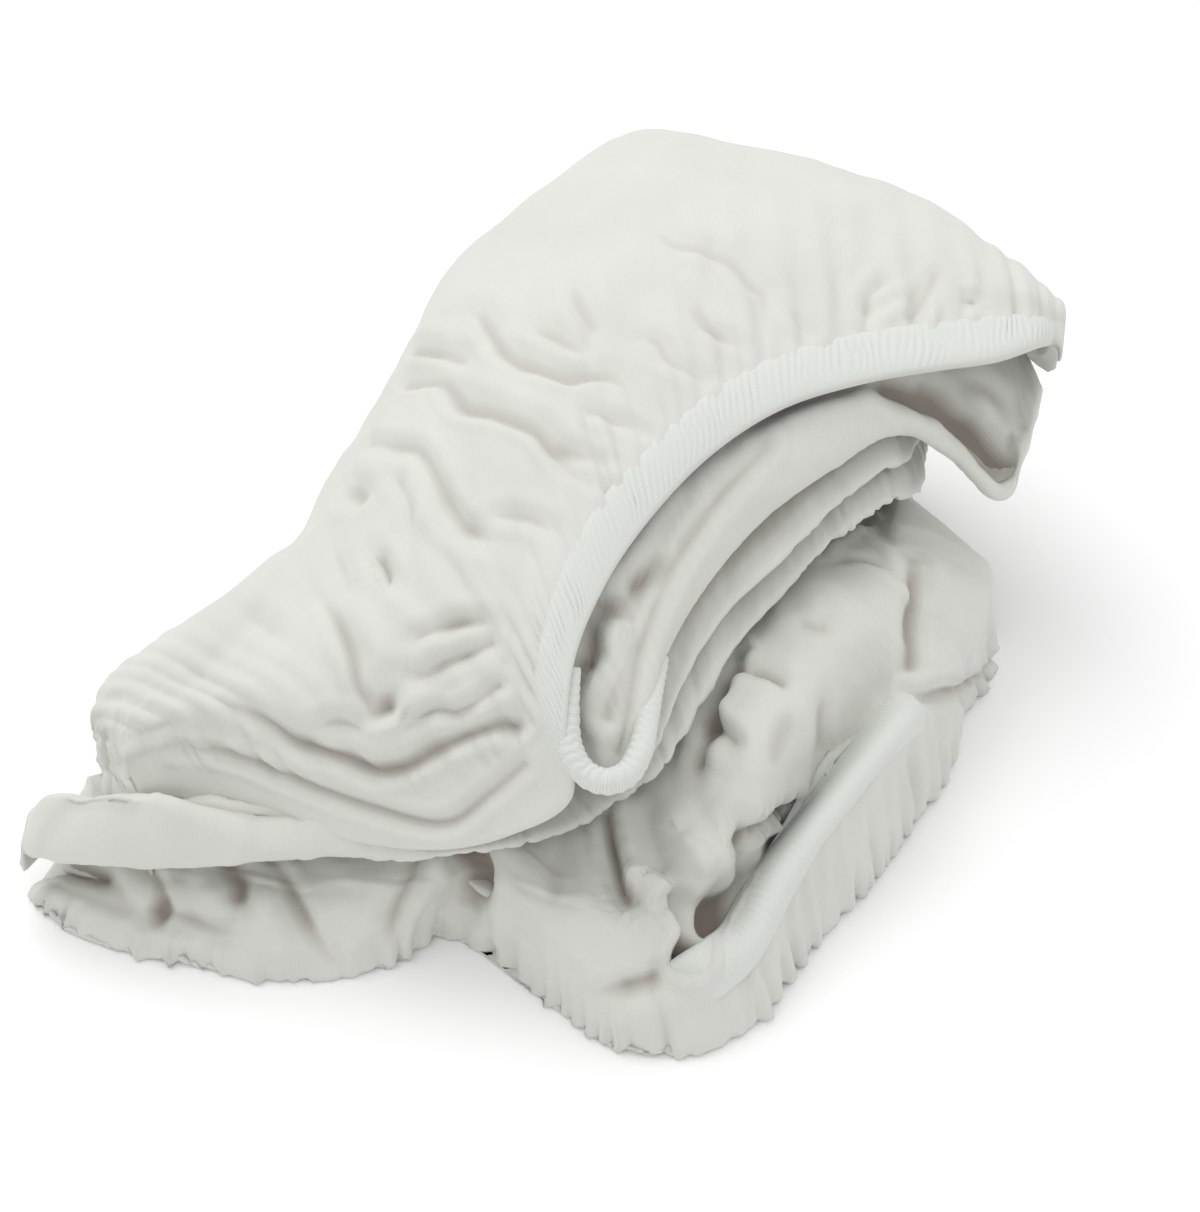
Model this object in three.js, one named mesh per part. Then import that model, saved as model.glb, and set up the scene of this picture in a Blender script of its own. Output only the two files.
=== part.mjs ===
// A box spring cover of soft white jersey, loosely folded and laid down in a heap.
// Millimetres, +Z up. The viewer's side is -Y, the right-hand end +X.
// The cloth is one sheet. Its section runs back and forth through its layers, from the
// elastic hem of the top layer down to the layer that lies on the surface.
// Two flat elastic bands lie on it, along the mouth and at the lower right.
import * as THREE from 'three';

// Driving dimensions.
const CLOTH_THICKNESS = 1.8;
const BAND_THICKNESS = 1.4;
const BAND_WIDTH = 24;
const BAND_GAP = 0.6;
const UPPER_BAND_SECTIONS = [0, 11];
const LOWER_BAND_SECTIONS = [5.5, 9.7];
const PLAN_CENTRE = [8.87, 33.15];
const HEM_RETURN = 6;
const HEM_DROP = 5.2;
const HEM_RISE = 1.7;
const STRIP_RISE = 0.36;
const LIP_ROUND = 4.6;
const LIP_ROUND_SHARE = 0.032;
const LIP_DEPTH = 14;
const BACK_BULGE = 15;
const BACK_UNEVENNESS = 5;
const WALL_FOOT = 0.72;

// The top layer, one row for each section from the right-hand end round to the left-hand nose.
// hem: the front edge. crown: the height of the top. ridge: where the back begins to fall.
// steps: how many mesh steps lead to the next section.
const shellSections = [
  { hem: [216, 88, 147], crown: 154, ridge: [220, 114, 150], steps: 2 },
  { hem: [207, 72, 156], crown: 164, ridge: [208, 126, 156], steps: 2 },
  { hem: [188, 57, 160], crown: 171, ridge: [192, 142, 160], steps: 2 },
  { hem: [162, 47, 163], crown: 177, ridge: [168, 170, 163], steps: 2 },
  { hem: [132, 36, 165], crown: 181, ridge: [128, 194, 166], steps: 2 },
  { hem: [98, 18, 166], crown: 185, ridge: [86, 211, 167], steps: 2 },
  { hem: [70, -6, 163], crown: 187, ridge: [43, 221, 167], steps: 3 },
  { hem: [46, -36, 157], crown: 184, ridge: [0, 180, 163], steps: 3 },
  { hem: [27, -68, 149], crown: 178, ridge: [-40, 127, 156], steps: 3 },
  { hem: [15, -98, 137], crown: 167, ridge: [-57, 76, 146], steps: 3 },
  { hem: [12, -120, 119], crown: 154, ridge: [-75, 29, 138], steps: 2 },
  { hem: [14, -131, 98], crown: 141, ridge: [-86, -8, 127], steps: 2 },
  { hem: [-8, -132, 79], crown: 128, ridge: [-108, -24, 119], steps: 2 },
  { hem: [-34, -130, 70], crown: 117, ridge: [-130, -41, 110], steps: 2 },
  { hem: [-70, -121, 67], crown: 106, ridge: [-148, -54, 100], steps: 2 },
  { hem: [-108, -105, 67], crown: 96, ridge: [-160, -62, 91], steps: 2 },
  { hem: [-140, -95, 66], crown: 86, ridge: [-169, -69, 81], steps: 2 },
  { hem: [-163, -92, 62], crown: 75, ridge: [-177, -72, 72], steps: 2 },
  { hem: [-174, -94, 52], crown: 60, ridge: [-186, -76, 57], steps: 2 },
];

// The three folded lips under the mouth, highest first, the plan place of the back folds and
// the height that sets the layers between them. rise: how far the cloth swells up behind the
// high lip and behind the low one.
const lipSections = [
  { high: [213, 80, 127], middle: [164, 84, 110], low: [167, 90, 95], back: [166, 178], crown: 176, rise: [0, 0] },
  { high: [206, 60, 114], middle: [162, 74, 110], low: [166, 78, 95], back: [159, 185], crown: 176, rise: [0, 0] },
  { high: [193, 37, 103], middle: [159, 63, 110], low: [164, 66, 95], back: [152, 190], crown: 176, rise: [0, 0] },
  { high: [172, 44, 119], middle: [154, 52, 112], low: [159, 50, 96], back: [144, 198], crown: 177, rise: [6, 0] },
  { high: [146, 36, 138], middle: [142, 33, 122], low: [145, 30, 106], back: [118, 215], crown: 181, rise: [12, 0] },
  { high: [120, 15, 138], middle: [120, 9, 121], low: [126, 12, 106], back: [84, 227], crown: 185, rise: [12, 0] },
  { high: [92, -10, 134], middle: [97, -20, 117], low: [103, -15, 102], back: [38, 236], crown: 187, rise: [12, 0] },
  { high: [66, -44, 125], middle: [73, -46, 110], low: [82, -44, 97], back: [-10, 194], crown: 184, rise: [13, 0] },
  { high: [49, -76, 115], middle: [57, -74, 101], low: [65, -71, 89], back: [-54, 140], crown: 178, rise: [14, 0] },
  { high: [40, -104, 105], middle: [47, -99, 92], low: [50, -97, 80], back: [-74, 84], crown: 167, rise: [14, 0] },
  { high: [31, -118, 95], middle: [36, -110, 82], low: [34, -102, 67], back: [-93, 36], crown: 154, rise: [10, 0] },
  { high: [6, -108, 93], middle: [8, -102, 79], low: [14, -112, 60], back: [-105, -2], crown: 141, rise: [0, 0] },
  { high: [-44, -90, 99], middle: [-44, -86, 82], low: [-14, -123, 61], back: [-125, -17], crown: 128, rise: [0, 0] },
  { high: [-80, -84, 94], middle: [-80, -80, 77], low: [-40, -125, 57], back: [-147, -32], crown: 117, rise: [0, 0] },
  { high: [-108, -84, 85], middle: [-108, -80, 70], low: [-82, -122, 54], back: [-164, -43], crown: 102, rise: [0, 0] },
  { high: [-134, -82, 77], middle: [-134, -79, 63], low: [-120, -122, 49], back: [-175, -50], crown: 86, rise: [0, 5] },
  { high: [-154, -80, 69], middle: [-154, -78, 56], low: [-160, -119, 44], back: [-183, -56], crown: 76, rise: [0, 9] },
  { high: [-172, -80, 61], middle: [-170, -80, 51], low: [-194, -109, 38], back: [-188, -58], crown: 69, rise: [0, 6] },
  { high: [-182, -84, 48], middle: [-180, -84, 42], low: [-206, -97, 31], back: [-195, -62], crown: 60, rise: [0, 2] },
];

// The lower mass: its crumpled crest, the valley inside the lower band, the rim that carries
// the band, and the edge on the surface.
const lowerSections = [
  { crest: [161, 93, 58], valley: [170, 82, 52], rim: [188, 68, 30], edge: [198, 60] },
  { crest: [157, 72, 78], valley: [168, 64, 72], rim: [191, 50, 58], edge: [199, 42] },
  { crest: [154, 52, 82], valley: [169, 46, 78], rim: [194, 36, 60], edge: [192, 26] },
  { crest: [151, 28, 84], valley: [168, 22, 80], rim: [187, 14, 62], edge: [180, 6] },
  { crest: [146, 2, 88], valley: [161, -5, 74], rim: [176, -10, 58], edge: [175, -16] },
  { crest: [136, -16, 88], valley: [147, -25, 66], rim: [158, -33, 56], edge: [167, -37] },
  { crest: [122, -36, 88], valley: [133, -47, 52], rim: [148, -55, 62], edge: [153, -61] },
  { crest: [106, -62, 86], valley: [110, -74, 36], rim: [124, -86, 54], edge: [131, -94] },
  { crest: [90, -88, 80], valley: [90, -100, 28], rim: [98, -118, 42], edge: [106, -130] },
  { crest: [68, -114, 56], valley: [70, -127, 24], rim: [80, -147, 31], edge: [88, -158] },
  { crest: [45, -128, 50], valley: [48, -140, 46], rim: [56, -160, 30], edge: [66, -174] },
  { crest: [24, -132, 44], valley: [30, -144, 46], rim: [36, -164, 30], edge: [38, -177] },
  { crest: [0, -126, 48], valley: [3, -138, 44], rim: [6, -150, 28], edge: [7, -153] },
  { crest: [-25, -108, 43], valley: [-29, -112, 33], rim: [-35, -116, 20], edge: [-37, -117] },
  { crest: [-52, -110, 40], valley: [-54, -122, 33], rim: [-54, -128, 18], edge: [-56, -131] },
  { crest: [-92, -108, 35], valley: [-92, -120, 28], rim: [-93, -134, 16], edge: [-90, -139] },
  { crest: [-132, -100, 31], valley: [-136, -112, 25], rim: [-140, -126, 14], edge: [-144, -131] },
  { crest: [-174, -92, 23], valley: [-179, -101, 19], rim: [-184, -107, 12], edge: [-190, -114] },
  { crest: [-192, -85, 16], valley: [-196, -90, 13], rim: [-200, -93, 9], edge: [-207, -94] },
];

// Heights of the inner layers, as shares of the crown at their middle and of the ridge at the back.
const layerHeights = {
  second: { middle: 0.845, back: 0.83 },
  third: { middle: 0.765, back: 0.66 },
  fourth: { middle: 0.69, back: 0.565 },
  fifth: { middle: 0.62, back: 0.495 },
  sixth: { middle: 0.535, back: 0.42 },
  seventh: { middle: 0.455, back: 0.345 },
  eighth: { middle: 0.33, back: 0.245 },
};
const backFoldHeights = { upper: 0.612, middle: 0.455, lower: 0.295, floor: 0.045 };

// Heights of the two tucked layers inside, as shares of the crest at their middle and front
// and of the ridge at the back.
const tuckedHeights = {
  upper: { front: 0.55, middle: 0.5, back: 0.165 },
  under: { front: 0.33, middle: 0.3, back: 0.095 },
};

// The main creases of the top layer. path: pairs of section number and share of the way from
// the hem to the ridge. width and depth in millimetres.
const shellCreases = [
  { path: [[8.3, 0.97], [8.1, 0.75], [7.8, 0.5], [7.3, 0.3], [6.9, 0.15]], width: 10, depth: 5 },
  { path: [[9.3, 0.98], [9.1, 0.75], [8.8, 0.45], [8.4, 0.2]], width: 9, depth: 5 },
  { path: [[13.6, 0.66], [13, 0.5], [12.4, 0.38], [11.9, 0.36]], width: 9, depth: 6 },
  { path: [[16, 0.5], [15, 0.3], [14, 0.2], [13, 0.2], [12, 0.24], [11.3, 0.22]], width: 8, depth: 5 },
];

// A tabled point, moved so that the heap's box is centred over the origin.
function vector(values, height) {
  return new THREE.Vector3(values[0] - PLAN_CENTRE[0], values[1] - PLAN_CENTRE[1], height ?? values[2]);
}

// A point part of the way from one to another in plan, at its own height.
function between(from, to, share, height) {
  const point = from.clone().lerp(to, share);
  point.z = height;
  return point;
}

// One section's control points, each with its name and the number of mesh steps after it.
function sectionPoints(index) {
  const shell = shellSections[index];
  const lips = lipSections[index];
  const lower = lowerSections[index];
  const hem = vector(shell.hem);
  const ridge = vector(shell.ridge);
  const crown = shell.crown;
  const outward = ridge.clone().sub(hem).setZ(0).normalize();
  const points = [];
  const add = (point, steps, name) => points.push({ point, steps, name });

  // The top layer, with its hem turned under and a flat strip for the band.
  const length = Math.hypot(ridge.x - hem.x, ridge.y - hem.y);
  const onShell = (distance, height) => hem.clone().addScaledVector(outward, distance).setZ(height);
  const strip = Math.min(BAND_WIDTH, 0.3 * length);
  const before = vector(shellSections[Math.max(index - 1, 0)].hem);
  const after = vector(shellSections[Math.min(index + 1, shellSections.length - 1)].hem);
  const steepness = (after.z - before.z) / Math.hypot(after.x - before.x, after.y - before.y);
  const slant = Math.hypot(1, steepness);
  add(onShell(Math.min(HEM_RETURN, 0.2 * length), hem.z - HEM_DROP * slant), 1, 'return');
  add(hem, 1, 'hem');
  add(onShell(0.1 * strip * slant, hem.z + HEM_RISE * slant), 1, 'bandLow');
  add(onShell(strip, hem.z + 2 + STRIP_RISE * (crown - hem.z)), 4, 'bandHigh');
  add(between(hem, ridge, 0.46, crown), 4, 'crown');
  add(between(hem, ridge, 0.77, crown - 0.42 * (crown - ridge.z)), 3);
  add(ridge, 2, 'ridge');
  const unevenness = BACK_UNEVENNESS * Math.min((crown / 150) ** 2, 1);
  const wave = (phase) => unevenness * Math.sin(1.35 * index + phase);
  const shellBack = ridge.clone().addScaledVector(outward, BACK_BULGE + wave(0));
  add(shellBack.clone().setZ(0.86 * ridge.z), 2);
  add(shellBack.clone().addScaledVector(outward, 2).setZ(WALL_FOOT * ridge.z), 1, 'wallFoot');

  // A layer that comes forward from the back to a lip, and the one that goes back under it.
  const round = Math.min(LIP_ROUND, LIP_ROUND_SHARE * crown);
  const stackRidge = ridge.z * lips.crown / crown;
  const near = (from, to) => Math.min(LIP_DEPTH / from.distanceTo(to), 0.25);
  const forward = (from, lip, heights, top, bottom, rise) => {
    const base = from.clone().setZ(lip.z);
    add(between(base, lip, near(base, lip), heights.back * bottom), 1);
    add(between(base, lip, 0.5, heights.middle * top), 2);
    add(between(lip, base, near(base, lip), lip.z + round + rise), 1);
    add(lip, 1);
  };
  const backward = (lip, to, heights, top) => {
    const base = to.clone().setZ(lip.z);
    add(between(lip, base, near(base, lip), lip.z - round), 1);
    add(between(lip, base, 0.5, heights.middle * top), 1);
    add(between(base, lip, near(base, lip), heights.back * stackRidge), 1);
  };
  const back = vector(lips.back, 0);
  const backFold = (share, phase) => {
    add(back.clone().addScaledVector(outward, wave(phase)).setZ(share * stackRidge), 1);
  };
  const high = vector(lips.high);
  const middle = vector(lips.middle);
  const low = vector(lips.low);
  const [highRise, lowRise] = lips.rise;
  forward(between(shellBack, back, 0.5), high, layerHeights.second, crown, ridge.z, highRise);
  backward(high, back, layerHeights.third, crown);
  backFold(backFoldHeights.upper, 2);
  forward(back, middle, layerHeights.fourth, lips.crown, stackRidge, 0);
  backward(middle, back, layerHeights.fifth, lips.crown);
  backFold(backFoldHeights.middle, 4);
  forward(back, low, layerHeights.sixth, lips.crown, stackRidge, lowRise);
  backward(low, back, layerHeights.seventh, lips.crown);
  backFold(backFoldHeights.lower, 1);

  // The lower mass, the layer on the surface and the two layers tucked inside.
  const floor = CLOTH_THICKNESS / 2;
  const base = back.clone().setZ(floor);
  const crest = vector(lower.crest);
  const rim = vector(lower.rim);
  const edge = vector(lower.edge, floor);
  add(between(base, crest, near(base, crest), layerHeights.eighth.back * stackRidge), 1);
  add(between(base, crest, 0.55, layerHeights.eighth.middle * lips.crown), 3);
  add(crest, 2, 'crest');
  add(vector(lower.valley), 2, 'valley');
  add(rim, 1, 'rim');
  add(between(rim, edge, 0.5, 0.7 * rim.z), 2, 'rimOuter');
  add(edge, 1, 'edge');
  add(between(edge, base, 0.12, floor), 1);
  add(between(edge, base, 0.5, floor), 2);
  add(between(edge, base, 0.94, floor), 1);
  add(base.clone().setZ(backFoldHeights.floor * stackRidge + floor), 1);
  const openness = THREE.MathUtils.clamp((lower.valley[2] / crest.z - 0.6) / 0.3, 0, 1);
  const inside = between(base, crest, 0.92, 0).lerp(rim, 0.4 * openness);
  const { upper, under } = tuckedHeights;
  add(between(base, inside, 0.1, under.back * stackRidge), 1);
  add(between(base, inside, 0.6, under.middle * crest.z), 1);
  add(inside.clone().setZ(under.front * crest.z), 1);
  add(inside.clone().setZ(upper.front * crest.z), 1);
  add(between(inside, base, 0.4, upper.middle * crest.z), 1);
  add(between(inside, base, 0.85, upper.back * stackRidge), 0);
  return points;
}

// A smooth curve through four points, paced by the roots of their distances,
// at a share of the way from the second to the third.
function throughPoints(controls, share) {
  const pace = (a, b) => Math.sqrt(Math.max(a.distanceTo(b), 0.01));
  const knots = [0];
  for (let i = 0; i < 3; i += 1) knots.push(knots[i] + pace(controls[i], controls[i + 1]));
  const at = knots[1] + share * (knots[2] - knots[1]);
  const blend = (a, b, from, to) => a.clone().lerp(b, (at - from) / (to - from));
  const first = blend(controls[0], controls[1], knots[0], knots[1]);
  const second = blend(controls[1], controls[2], knots[1], knots[2]);
  const third = blend(controls[2], controls[3], knots[2], knots[3]);
  const left = blend(first, second, knots[0], knots[2]);
  const right = blend(second, third, knots[1], knots[3]);
  return blend(left, right, knots[1], knots[2]);
}

// Points along a smooth curve, with the given number of steps after each control point.
function smoothCurve(controls, stepsAfter) {
  const last = controls.length - 1;
  const beyond = (end, inner) => end.clone().multiplyScalar(2).sub(inner);
  const padded = [
    beyond(controls[0], controls[1]),
    ...controls,
    beyond(controls[last], controls[last - 1]),
  ];
  const points = [];
  for (let i = 0; i < last; i += 1) {
    for (let step = 0; step < stepsAfter[i]; step += 1) {
      points.push(throughPoints(padded.slice(i, i + 4), step / stepsAfter[i]));
    }
  }
  points.push(controls[last].clone());
  return points;
}

// The column or row of the mesh at each control point, from the steps after each.
function meshStarts(steps) {
  const starts = [0];
  steps.forEach((count) => starts.push(starts.at(-1) + count));
  return starts;
}

const sections = shellSections.map((row, index) => sectionPoints(index));
const columnSteps = sections[0].map((entry) => entry.steps);
const rowSteps = shellSections.map((row) => row.steps);
const columnStarts = meshStarts(columnSteps);
const rowStarts = meshStarts(rowSteps);
const columnOf = (name) => columnStarts[sections[0].findIndex((entry) => entry.name === name)];

// The middle surface of the cloth: sections joined smoothly along the heap, one list of
// points for each mesh row.
function middleSurface() {
  const curves = sections.map((section) => smoothCurve(section.map((entry) => entry.point), columnSteps));
  const columns = curves[0].map((start, j) => smoothCurve(curves.map((curve) => curve[j]), rowSteps));
  return columns[0].map((start, i) => columns.map((column) => column[i]));
}

// The unit normal at each point of a grid: the mean of the normals of the quads that meet there.
function gridNormals(grid) {
  const last = grid[0].length - 1;
  const quads = grid.slice(0, -1).map((row, i) => row.slice(0, -1).map((point, j) => {
    const rising = grid[i + 1][j + 1].clone().sub(point);
    const falling = grid[i + 1][j].clone().sub(row[j + 1]);
    return rising.cross(falling).normalize();
  }));
  return grid.map((row, i) => row.map((point, j) => {
    const mean = new THREE.Vector3();
    quads.slice(Math.max(i - 1, 0), i + 1).forEach((line) => {
      line.slice(Math.max(j - 1, 0), Math.min(j, last - 1) + 1).forEach((normal) => mean.add(normal));
    });
    return mean.normalize();
  }));
}

// The mesh row nearest to a section number, which may lie between two sections.
function rowOf(section) {
  const whole = Math.min(Math.floor(section), shellSections.length - 2);
  return Math.round(rowStarts[whole] + (section - whole) * rowSteps[whole]);
}

// The point of the top layer at a section number and a share of the way from hem to ridge.
function pointOnShell(grid, section, share) {
  const row = rowOf(section);
  const first = columnOf('hem');
  const column = first + share * (columnOf('ridge') - first);
  const low = Math.floor(column);
  return grid[row][low].clone().lerp(grid[row][low + 1], column - low);
}

// Presses the creases into the top layer: each is a soft trough about a path, deepest half way.
function pressCreases(grid) {
  const normals = gridNormals(grid);
  shellCreases.forEach(({ path, width, depth }) => {
    const line = smoothCurve(path.map(([section, share]) => pointOnShell(grid, section, share)),
      path.map(() => 6));
    grid.forEach((row, i) => {
      for (let j = columnOf('bandHigh'); j <= columnOf('ridge'); j += 1) {
        const distances = line.map((point) => point.distanceTo(row[j]));
        const nearest = Math.min(...distances);
        const along = distances.indexOf(nearest) / (line.length - 1);
        const fall = Math.exp(-((nearest / width) ** 2)) * Math.sqrt(Math.sin(Math.PI * along));
        row[j].addScaledVector(normals[i][j], -depth * fall);
      }
    });
  });
}

// A closed solid of the given thickness about a grid of points.
function thickSheet(grid, thickness) {
  const rows = grid.length;
  const columns = grid[0].length;
  const normals = gridNormals(grid);
  const positions = [];
  [0.5, -0.5].forEach((side) => {
    grid.forEach((row, i) => row.forEach((point, j) => {
      const moved = point.clone().addScaledVector(normals[i][j], side * thickness);
      positions.push(moved.x, moved.y, Math.max(moved.z, 0));
    }));
  });
  const top = (i, j) => i * columns + j;
  const under = (i, j) => rows * columns + top(i, j);
  const triangles = [];
  const quad = (a, b, c, d) => triangles.push(a, b, c, a, c, d);
  for (let i = 0; i < rows - 1; i += 1) {
    for (let j = 0; j < columns - 1; j += 1) {
      quad(top(i, j), top(i, j + 1), top(i + 1, j + 1), top(i + 1, j));
      quad(under(i, j), under(i + 1, j), under(i + 1, j + 1), under(i, j + 1));
    }
    quad(top(i, 0), top(i + 1, 0), under(i + 1, 0), under(i, 0));
    const end = columns - 1;
    quad(top(i, end), under(i, end), under(i + 1, end), top(i + 1, end));
  }
  for (let j = 0; j < columns - 1; j += 1) {
    quad(top(0, j), under(0, j), under(0, j + 1), top(0, j + 1));
    const end = rows - 1;
    quad(top(end, j), top(end, j + 1), under(end, j + 1), under(end, j));
  }
  const geometry = new THREE.BufferGeometry();
  geometry.setAttribute('position', new THREE.Float32BufferAttribute(positions, 3));
  geometry.setIndex(triangles);
  return geometry;
}

// A flat band that lies a little off one face of the cloth (side 1 or -1), between two sections
// and two columns.
function bandSheet(grid, side, [fromSection, toSection], [fromColumn, toColumn]) {
  const normals = gridNormals(grid);
  const lift = side * (CLOTH_THICKNESS / 2 + BAND_GAP + BAND_THICKNESS / 2);
  const raise = (point, normal) => point.clone().addScaledVector(normal, lift);
  const lifted = grid.map((row, i) => row.map((point, j) => raise(point, normals[i][j])));
  const rows = lifted.slice(rowOf(fromSection), rowOf(toSection) + 1);
  return thickSheet(rows.map((row) => row.slice(fromColumn, toColumn + 1)), BAND_THICKNESS);
}

const jersey = new THREE.MeshStandardMaterial({ color: '#e6e8e1', roughness: 0.92, metalness: 0 });

const elastic = new THREE.MeshStandardMaterial({ color: '#e9ecea', roughness: 0.85, metalness: 0 });

const surface = middleSurface();
surface.flat().forEach((point) => {
  point.z = Math.max(point.z, CLOTH_THICKNESS / 2);
});
pressCreases(surface);

const upperBandColumns = [columnOf('bandLow'), columnOf('bandHigh')];
const lowerBandColumns = [columnOf('rim') - 1, columnOf('rimOuter')];
const upperBand = bandSheet(surface, 1, UPPER_BAND_SECTIONS, upperBandColumns);
const lowerBand = bandSheet(surface, -1, LOWER_BAND_SECTIONS, lowerBandColumns);
const pieces = [
  ['cover_cloth', thickSheet(surface, CLOTH_THICKNESS), jersey],
  ['elastic_band_upper', upperBand, elastic],
  ['elastic_band_lower', lowerBand, elastic],
];
const cover = new THREE.Group();
pieces.forEach(([name, geometry, material]) => {
  const mesh = new THREE.Mesh(geometry, material);
  mesh.name = name;
  cover.add(mesh);
});

export default cover;
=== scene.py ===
"""A box spring cover of soft white jersey, loosely folded and laid down in a heap.

Tables and shapes are in millimetres and are turned to metres as each mesh is made. The viewer's
side is -Y, the right-hand end +X, and Z is up from the surface that the heap lies on.
"""
import math

import bpy
import numpy as np
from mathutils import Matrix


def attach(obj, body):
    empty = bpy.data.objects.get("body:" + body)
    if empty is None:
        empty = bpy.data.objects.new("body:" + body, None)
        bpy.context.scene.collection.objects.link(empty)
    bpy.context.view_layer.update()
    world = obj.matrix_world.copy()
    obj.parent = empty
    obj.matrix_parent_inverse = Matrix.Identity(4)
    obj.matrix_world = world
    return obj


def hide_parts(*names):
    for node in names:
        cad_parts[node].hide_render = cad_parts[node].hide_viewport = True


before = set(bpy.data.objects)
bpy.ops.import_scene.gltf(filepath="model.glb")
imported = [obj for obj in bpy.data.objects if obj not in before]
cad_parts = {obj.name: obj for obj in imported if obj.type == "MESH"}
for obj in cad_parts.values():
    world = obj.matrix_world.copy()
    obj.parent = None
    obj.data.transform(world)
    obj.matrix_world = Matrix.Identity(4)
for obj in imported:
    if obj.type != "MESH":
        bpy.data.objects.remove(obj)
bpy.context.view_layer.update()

bl_info = {
    "name": "Folded box spring cover",
    "version": (1, 0, 0),
    "blender": (4, 5, 0),
    "location": "3D View > Sidebar > Cover",
    "description": "Makes a loosely folded jersey box spring cover with its elastic edge",
    "category": "Object",
}

# ---------------------------------------------------------------- the heap's own sizes

# Millimetres in a metre; UV units in a millimetre; the middle of the heap in plan; the height of
# the sheet's middle where it lies on the surface; sections of the heap; rows of each piece.
METRE = 1000.0
UV_PER_MM = 0.01
PLAN_CENTRE = (8.87, 33.15)
FLOOR_HEIGHT = 0.9
SECTIONS = 19
ROW_COUNT = 330

# The hem turns in under the edge, drops below it and rises behind it; the strip under the elastic
# runs up towards the crown; the lips are rounded; the back wall bulges, more or less at each
# section, and leans out to its foot. The last three are shares of heights, or a pace in radians.
HEM_RETURN, HEM_DROP, HEM_RISE = 6.0, 5.2, 1.7
STRIP_WIDTH, STRIP_LIFT, STRIP_RISE = 24.0, 2.0, 0.36
LIP_ROUND, LIP_ROUND_SHARE, LIP_DEPTH = 4.6, 0.032, 14.0
BACK_BULGE, BACK_UNEVENNESS, EVEN_HEIGHT, WALL_LEAN = 15.0, 5.0, 150.0, 2.0
BACK_PACE, WALL_TOP, WALL_FOOT = 1.35, 0.86, 0.72

# One row for each section, from the right-hand end round to the left-hand nose.
# hem x, y, z; height of the crown; ridge x, y, z
TOP_LAYER = np.array([
    [216, 88, 147, 154, 220, 114, 150],
    [207, 72, 156, 164, 208, 126, 156],
    [188, 57, 160, 171, 192, 142, 160],
    [162, 47, 163, 177, 168, 170, 163],
    [132, 36, 165, 181, 128, 194, 166],
    [98, 18, 166, 185, 86, 211, 167],
    [70, -6, 163, 187, 43, 221, 167],
    [46, -36, 157, 184, 0, 180, 163],
    [27, -68, 149, 178, -40, 127, 156],
    [15, -98, 137, 167, -57, 76, 146],
    [12, -120, 119, 154, -75, 29, 138],
    [14, -131, 98, 141, -86, -8, 127],
    [-8, -132, 79, 128, -108, -24, 119],
    [-34, -130, 70, 117, -130, -41, 110],
    [-70, -121, 67, 106, -148, -54, 100],
    [-108, -105, 67, 96, -160, -62, 91],
    [-140, -95, 66, 86, -169, -69, 81],
    [-163, -92, 62, 75, -177, -72, 72],
    [-174, -94, 52, 60, -186, -76, 57],
], float)

# high lip x, y, z; middle lip x, y, z; low lip x, y, z; back folds x, y; height that sets the
# layers; how far the cloth swells up behind the high lip and behind the low one
LIPS = np.array([
    [213, 80, 127, 164, 84, 110, 167, 90, 95, 166, 178, 176, 0, 0],
    [206, 60, 114, 162, 74, 110, 166, 78, 95, 159, 185, 176, 0, 0],
    [193, 37, 103, 159, 63, 110, 164, 66, 95, 152, 190, 176, 0, 0],
    [172, 44, 119, 154, 52, 112, 159, 50, 96, 144, 198, 177, 6, 0],
    [146, 36, 138, 142, 33, 122, 145, 30, 106, 118, 215, 181, 12, 0],
    [120, 15, 138, 120, 9, 121, 126, 12, 106, 84, 227, 185, 12, 0],
    [92, -10, 134, 97, -20, 117, 103, -15, 102, 38, 236, 187, 12, 0],
    [66, -44, 125, 73, -46, 110, 82, -44, 97, -10, 194, 184, 13, 0],
    [49, -76, 115, 57, -74, 101, 65, -71, 89, -54, 140, 178, 14, 0],
    [40, -104, 105, 47, -99, 92, 50, -97, 80, -74, 84, 167, 14, 0],
    [31, -118, 95, 36, -110, 82, 34, -102, 67, -93, 36, 154, 10, 0],
    [6, -108, 93, 8, -102, 79, 14, -112, 60, -105, -2, 141, 0, 0],
    [-44, -90, 99, -44, -86, 82, -14, -123, 61, -125, -17, 128, 0, 0],
    [-80, -84, 94, -80, -80, 77, -40, -125, 57, -147, -32, 117, 0, 0],
    [-108, -84, 85, -108, -80, 70, -82, -122, 54, -164, -43, 102, 0, 0],
    [-134, -82, 77, -134, -79, 63, -120, -122, 49, -175, -50, 86, 0, 5],
    [-154, -80, 69, -154, -78, 56, -160, -119, 44, -183, -56, 76, 0, 9],
    [-172, -80, 61, -170, -80, 51, -194, -109, 38, -188, -58, 69, 0, 6],
    [-182, -84, 48, -180, -84, 42, -206, -97, 31, -195, -62, 60, 0, 2],
], float)

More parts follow.
